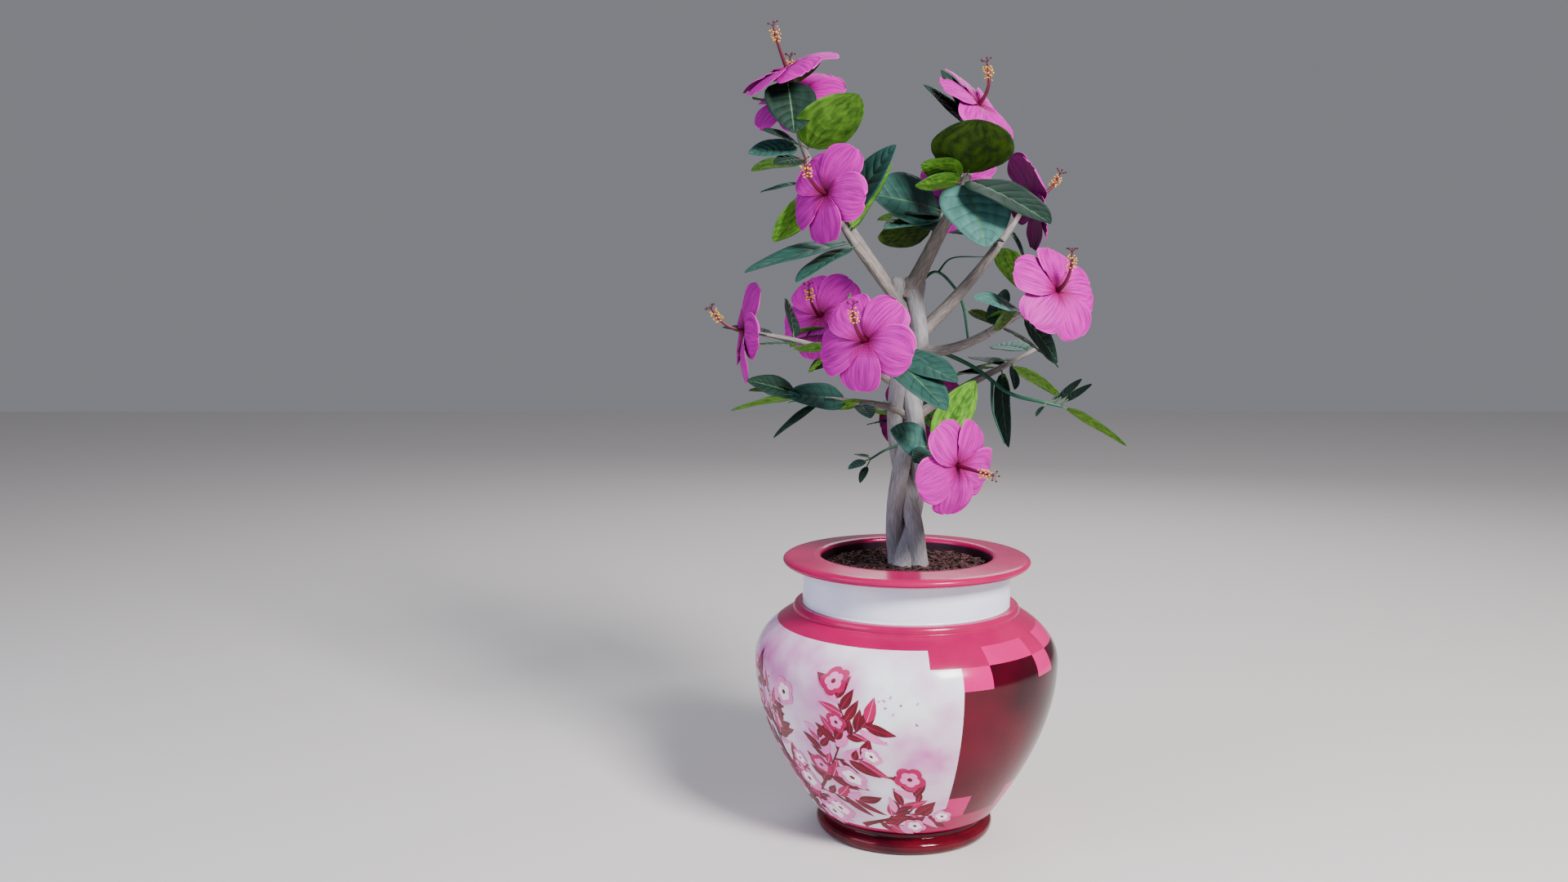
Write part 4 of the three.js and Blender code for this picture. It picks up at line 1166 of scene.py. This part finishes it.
ANTHER_RADIUS, ANTHER_SQUASH = (0.95, 1.35), 0.8
FILAMENT_RADIUS, FILAMENT_SIDES = 0.28 * MM, 4
STYLE_RADIUS, STYLE_SPREAD, STYLE_RISE, STYLE_BEND = 0.42 * MM, 6.5 * MM, 7.0 * MM, 4.5 * MM
STYLE_STEPS, STYLE_SIDES = 5, 5
KNOB_RINGS, KNOB_SIDES = 4, 8
PAD_RADIUS = 1.25 * MM
ASKEW = (0.31, 0.52, 0.8)  # a direction that no column takes
CUP_LENGTH, CUP_STEPS, CUP_SIDES, CUP_RIDGE = 14 * MM, 8, 15, 0.25 * MM
CUP_RADIUS = (3.0 * MM, 8.0 * MM)
CUP_ROUND, SEPAL_POINT = 0.7, 1.6  # powers that round the cup and point its lobes
CUP_INTO_BLOOM = 0.5 * MM
SEPAL_LENGTH, SEPAL_HALF, SEPAL_THICK, SEPAL_CURVE = 15 * MM, 5 * MM, 0.7 * MM, 0.9 * MM
SEPAL_OUT, SEPAL_BACK, SEPAL_LEAN = 6.5 * MM, 5 * MM, 0.12
bloom_dice = np.random.default_rng(21)
petal_heap, column_heap, cup_heap = Heap(), Heap(), Heap()


def ball(centre, size, squash=1.0):
    """A small round knob of this radius, squashed along its height."""
    polar = math.pi * np.arange(1, KNOB_RINGS + 1)[:, None] / (KNOB_RINGS + 1)
    turn = 2 * math.pi * np.arange(KNOB_SIDES)[None, :] / KNOB_SIDES
    body = np.broadcast_arrays(
        np.sin(polar) * np.cos(turn), np.sin(polar) * np.sin(turn), -squash * np.cos(polar),
    )
    pole = np.array([[0.0, 0.0, squash]])
    corners = np.concatenate([-pole, np.stack(body, axis=-1).reshape(-1, 3), pole])
    top = len(corners) - 1
    pairs = [(side, (side + 1) % KNOB_SIDES) for side in range(KNOB_SIDES)]
    faces = [(0, 1 + b, 1 + a) for a, b in pairs] + ring_faces(KNOB_RINGS, KNOB_SIDES, 1)
    faces += [(top - KNOB_SIDES + a, top - KNOB_SIDES + b, top) for a, b in pairs]
    return centre + size * corners, faces


def turned(vector, axis, angle):
    """The vector turned about the axis by this many degrees."""
    angle = math.radians(angle)
    return (
        vector * math.cos(angle) + np.cross(axis, vector) * math.sin(angle)
        + axis * np.dot(axis, vector) * (1 - math.cos(angle))
    )


def petal(centre, facing, out, ripple, size):
    """One petal: narrow at the throat, broad and rounded outside, pleated, with a ruffled margin. Its
    faces are numbered 0 inside, 1 on the back, 2 at the margin, and from 3 outward in the throat."""
    u = 1.0 - (1.0 - PETAL_START) * np.linspace(1.0, 0.0, PETAL_ALONG + 1)[:, None] ** 1.5
    v = both_sides(PETAL_ACROSS)
    base = np.sin(math.pi / 2 * np.clip(u / PETAL_BROAD, 0, 1) ** PETAL_ROUNDS[0])
    end = np.sqrt(np.clip(1.0 - (np.clip(u - PETAL_BROAD, 0, 1) / PETAL_END) ** PETAL_ROUNDS[1], 0, 1))
    half_width = size * PETAL_BREADTH / 2 * base * end
    rise = BLOOM_RADIUS * (PETAL_RISE * u ** 0.7 - PETAL_CURL * u ** 2)
    edge = np.abs(v) ** 3
    frill = edge + 0.5 * np.clip(u - RUFFLE_FROM, 0, 1) / (1.0 - RUFFLE_FROM)
    ruffle = RUFFLE * u ** 2 * np.sqrt(end) * frill * np.sin(7.0 * v + 11.0 * u + ripple)
    pleat = PLEAT * np.cos(13.0 * v) * u * (1 - edge)
    lap = half_width * v * (PETAL_LAP[0] + PETAL_LAP[1] * np.sign(v))
    height = rise + ruffle + pleat + lap - PETAL_HOLLOW * half_width * v ** 2 * (u > 0.3)
    reach = size * BLOOM_RADIUS * (u + PETAL_NICKS * np.sin(7 * v + ripple) * u ** 6 * end)
    ways = (out, np.cross(facing, out), facing)
    corners, faces, sides = sheet(spread(centre, ways, (reach, half_width * v, height)), facing, PETAL_THICK)
    rim = [side == 2 for side in sides]
    across = v.size - 1
    for row in range(PETAL_ALONG):
        for column in range(across):
            if row < THROAT_RINGS:
                sides[2 * (row * across + column)] = 3 + row
            elif column in (0, across - 1) or row == PETAL_ALONG - 1:
                sides[2 * (row * across + column)] = 2
    return corners, faces, sides, blade_marks(u, v, ripple), rim


def off_column(way, angle):
    """The direction square to the column at this turn round it."""
    return unit(turned(np.cross(way, ASKEW), way, angle))


def bloom(centre, facing, spin, bend):
    """A whole flower, added to the heaps. Gives its petals' and its column's corners and faces."""
    level = np.cross(facing, (0.0, 0.0, 1.0))
    right = unit(level) if np.dot(level, level) > 0.01 else np.array([1.0, 0.0, 0.0])
    down = np.cross(facing, right)
    grown = []
    for number in range(PETALS):
        sway = bloom_dice.uniform(-PETAL_TURN, PETAL_TURN)
        out = turned(down, facing, spin + 360.0 * number / PETALS + sway)
        ripple = bloom_dice.uniform(0, 2 * math.pi)
        made = petal(centre, facing, out, ripple, bloom_dice.uniform(*PETAL_SIZE))
        petal_heap.add(*made)
        grown.append(made[:2])
    end = centre + COLUMN_LENGTH * (facing * (1 - COLUMN_SHORTENS * bend) - down * COLUMN_RISES * bend)
    line = bezier(centre, centre + facing * COLUMN_LENGTH * COLUMN_KNEE, end, steps=COLUMN_STEPS)
    grown.append(column_heap.limb(line, slim(COLUMN_RADIUS, COLUMN_STEPS), COLUMN_SIDES))
    tip, way = line[-1], unit(line[-1] - line[-3])
    for number in range(ANTHERS):
        share = ANTHERS_FROM + ANTHERS_OVER * (number + 0.5) / ANTHERS
        root = line[round(share * COLUMN_STEPS)]
        reach = off_column(way, GOLDEN_ANGLE * number) * bloom_dice.uniform(*ANTHER_REACH) * MM
        knob = root + reach + way * bloom_dice.uniform(0, ANTHER_LEAN) * MM
        column_heap.limb([root, (root + knob) / 2, knob], FILAMENT_RADIUS, FILAMENT_SIDES, pick=1)
        column_heap.add(*ball(knob, bloom_dice.uniform(*ANTHER_RADIUS) * MM, ANTHER_SQUASH), 2)
    for number in range(PETALS):
        pad = tip + off_column(way, 360.0 * number / PETALS) * STYLE_SPREAD + way * STYLE_RISE
        style_line = bezier(tip, tip + way * STYLE_BEND, pad, steps=STYLE_STEPS)
        column_heap.limb(style_line, STYLE_RADIUS, STYLE_SIDES)
        column_heap.add(*ball(pad, PAD_RADIUS), 3)
    cup_line = bezier(centre - facing * CUP_LENGTH, centre + facing * CUP_INTO_BLOOM, steps=CUP_STEPS)
    cup_radii = between(CUP_RADIUS, np.linspace(0, 1, CUP_STEPS + 1) ** CUP_ROUND)
    cup_heap.limb(cup_line, cup_radii, CUP_SIDES, CUP_RIDGE)
    for number in range(PETALS):
        out = turned(down, facing, spin + 180 / PETALS + 360.0 * number / PETALS)
        u, v = np.linspace(0, 1, 7)[:, None], np.linspace(-1, 1, 5)[None, :]
        ways = (out + SEPAL_LEAN * facing, np.cross(facing, out), facing)
        shares = (u * SEPAL_LENGTH, SEPAL_HALF * (1 - u ** SEPAL_POINT) * v, -SEPAL_CURVE * v ** 2)
        root = centre + out * SEPAL_OUT - facing * SEPAL_BACK
        cup_heap.add(*sheet(spread(root, ways, shares), facing, SEPAL_THICK)[:2])
    return grown


def petal_skin(name, colour, deep):
    """Petal: satiny and thin, with deeper veins that run along it."""
    made = surface(name, colour, Roughness=0.55, IOR=1.4, Specular_IOR_Level=0.25)
    spot = node(made, "ShaderNodeAttribute", attribute_name="petal_place").outputs["Vector"]
    fan = node(made, "ShaderNodeVectorMath", {0: spot, 1: (1.3, 7.5, 1.0)}, operation="MULTIPLY").outputs[0]
    veins = clouds(made, fan, 1.6, 4.0, 0.6)
    blend(made, veins, 0.4, 0.66, colour, deep)
    emboss(made, veins, 0.1, 0.4 * MM)
    return made


def flesh(name, colour, deep, spot_mm, roughness):
    """Small soft plant parts: even in colour with a faint unevenness, a little waxy."""
    made = surface(name, colour, Roughness=roughness, IOR=1.42)
    place = node(made, "ShaderNodeTexCoord").outputs["Object"]
    blend(made, clouds(made, place, 1.0 / (spot_mm * MM), 2.0), 0.0, 1.0, colour, deep)
    return made


# The shoots that carry them.
# This year's wood, growing on from each bough's tip: thin grey bark at first, then thinner than a
# pencil where a leaf or a bloom sits on it. The blooms and then the leaves grow on them.
SHOOT_TIP = 2.2
SHOOT_STEPS, SHOOT_SIDES = 36, 18
SHOOT_RIDGE = 0.14 * MM
TWIG_SHARE = 0.9  # of the shoot tip's radius
TWIG_DROOP = 0.08  # share of its length
TWIG_RIDGE = 0.08 * MM
BLOOM_TWIG_STEPS, TWIG_SIDES = 10, 10
TWIG_BEHIND = 8 * MM  # where a bloom's stem ends, inside its cup
shoot_heap = Heap()
masses = [f"spray_{name}" for name in SPRAYS]
spray_places, spray_parts = {}, {}
for name, spray in SPRAYS.items():
    line = shoot_line(BOUGHS[name], spray)
    places = bezier(*line, steps=LINE_PLACES)
    spray_places[name] = lambda k, places=places: places[round(LINE_PLACES * k)]
    radii = slim((BOUGHS[name].radius[1], SHOOT_TIP), SHOOT_STEPS)
    parts = [shoot_heap.limb(bezier(*line, steps=SHOOT_STEPS), radii, SHOOT_SIDES, SHOOT_RIDGE)]
    for along, heading, lift, length, face_heading, face_lift, spin, bend in spray["blooms"]:
        root, facing = spray_places[name](along), way_of(face_heading, face_lift)
        centre = root + way_of(heading, lift) * length * MM
        sag = (root + centre) / 2 - np.array([0, 0, TWIG_DROOP * length * MM])
        twig_line = bezier(root, sag, centre - facing * TWIG_BEHIND, steps=BLOOM_TWIG_STEPS)
        parts.append(shoot_heap.limb(twig_line, SHOOT_TIP * TWIG_SHARE * MM, TWIG_SIDES, TWIG_RIDGE))
        parts += bloom(centre, facing, spin, bend)
    spray_parts[name] = parts
for name, parts in spray_parts.items():
    block_off(f"spray_{name}", parts)
for name, spray in SPRAYS.items():
    rows = [*spray["leaves"], *fill_leaves(*spray["fill"])]
    leaf_heap = upper_leaves if BOUGHS[name].root > HIGH_ROOT else lower_leaves
    grown = grow_leaves(f"spray_{name}", spray_places[name], rows, leaf_heap)
    block_off(f"spray_{name}", spray_parts[name] + grown)

# The thin green shoots.
# Soft young growth that springs straight from the stems, no thicker than a straw, bending out and
# down under small narrow leaves.
FORK_TIP = 0.7
VINE_SIDES, FORK_SIDES = 12, 10
vine_heap = Heap()
for name, vine in VINES.items():
    line, place_on = through(vine["route"])
    parts = [vine_heap.limb(line, slim(vine["radius"], len(line) - 1), VINE_SIDES)]
    for along, *rest in vine["forks"]:
        fork, _ = through([place_on(along) / MM, *rest])
        fork_radii = slim((vine["radius"][1], FORK_TIP), len(fork) - 1)
        parts.append(vine_heap.limb(fork, fork_radii, FORK_SIDES))
    block_off(name, parts + grow_leaves(name, place_on, vine["leaves"], lower_leaves))

# The leaves, shoots and blooms.
# All that has grown above, one piece of each kind: waxy leaves on green stalks, this year's grey
# and green wood, and the satiny petals with their columns and cups.
for piece_name, leaf_heap in (("upper_leaves", upper_leaves), ("lower_leaves", lower_leaves)):
    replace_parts(leaf_heap.make(piece_name, LEAF_MATERIALS, "blade"), *masses)
stalk_heap.make("leaf_stalks", [flesh("leaf_stalk", "#5C8048", "#3F6338", 5.0, 0.5)])
shoot_bark = bark("shoot_bark", "#7E7674", "#655E5C", "#968E8B", 1.0)
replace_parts(shoot_heap.make("shoots", [shoot_bark], "bark_place"), *masses)
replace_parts(vine_heap.make("green_shoots", [flesh("green_shoot", "#1F5C46", "#174434", 6.0, 0.45)]), *VINES)
petal_heap.make("petals", [
    petal_skin("petal_face", "#BE00A0", "#8A0078"),
    # the back: its own darker magenta, darkened further as painted shade
    petal_skin("petal_back", "#880070", "#620050"),
    petal_skin("petal_rim", "#D81CB4", "#C0089C"),
    petal_skin("petal_throat", "#7A0448", "#5A0438"),
    petal_skin("petal_throat_edge", "#8C0460", "#660448"),
    petal_skin("petal_inner_ring", "#9C0474", "#720456"),
    petal_skin("petal_middle_ring", "#AC0286", "#7E0264"),
    petal_skin("petal_outer_ring", "#B60094", "#860070"),
], "petal_place")
column_heap.make("flower_columns", [
    flesh("column_crimson", "#62042A", "#46041C", 6.0, 0.4),
    flesh("filament_pink", "#D8607A", "#B04060", 3.0, 0.5),
    flesh("pollen_yellow", "#F4C818", "#DCA008", 1.5, 0.85),
    flesh("pad_dark_red", "#5A0E26", "#3A0818", 2.0, 0.7),
])
cup_heap.make("flower_cups", [flesh("cup_green", "#4F8A3A", "#39682C", 5.0, 0.55)])
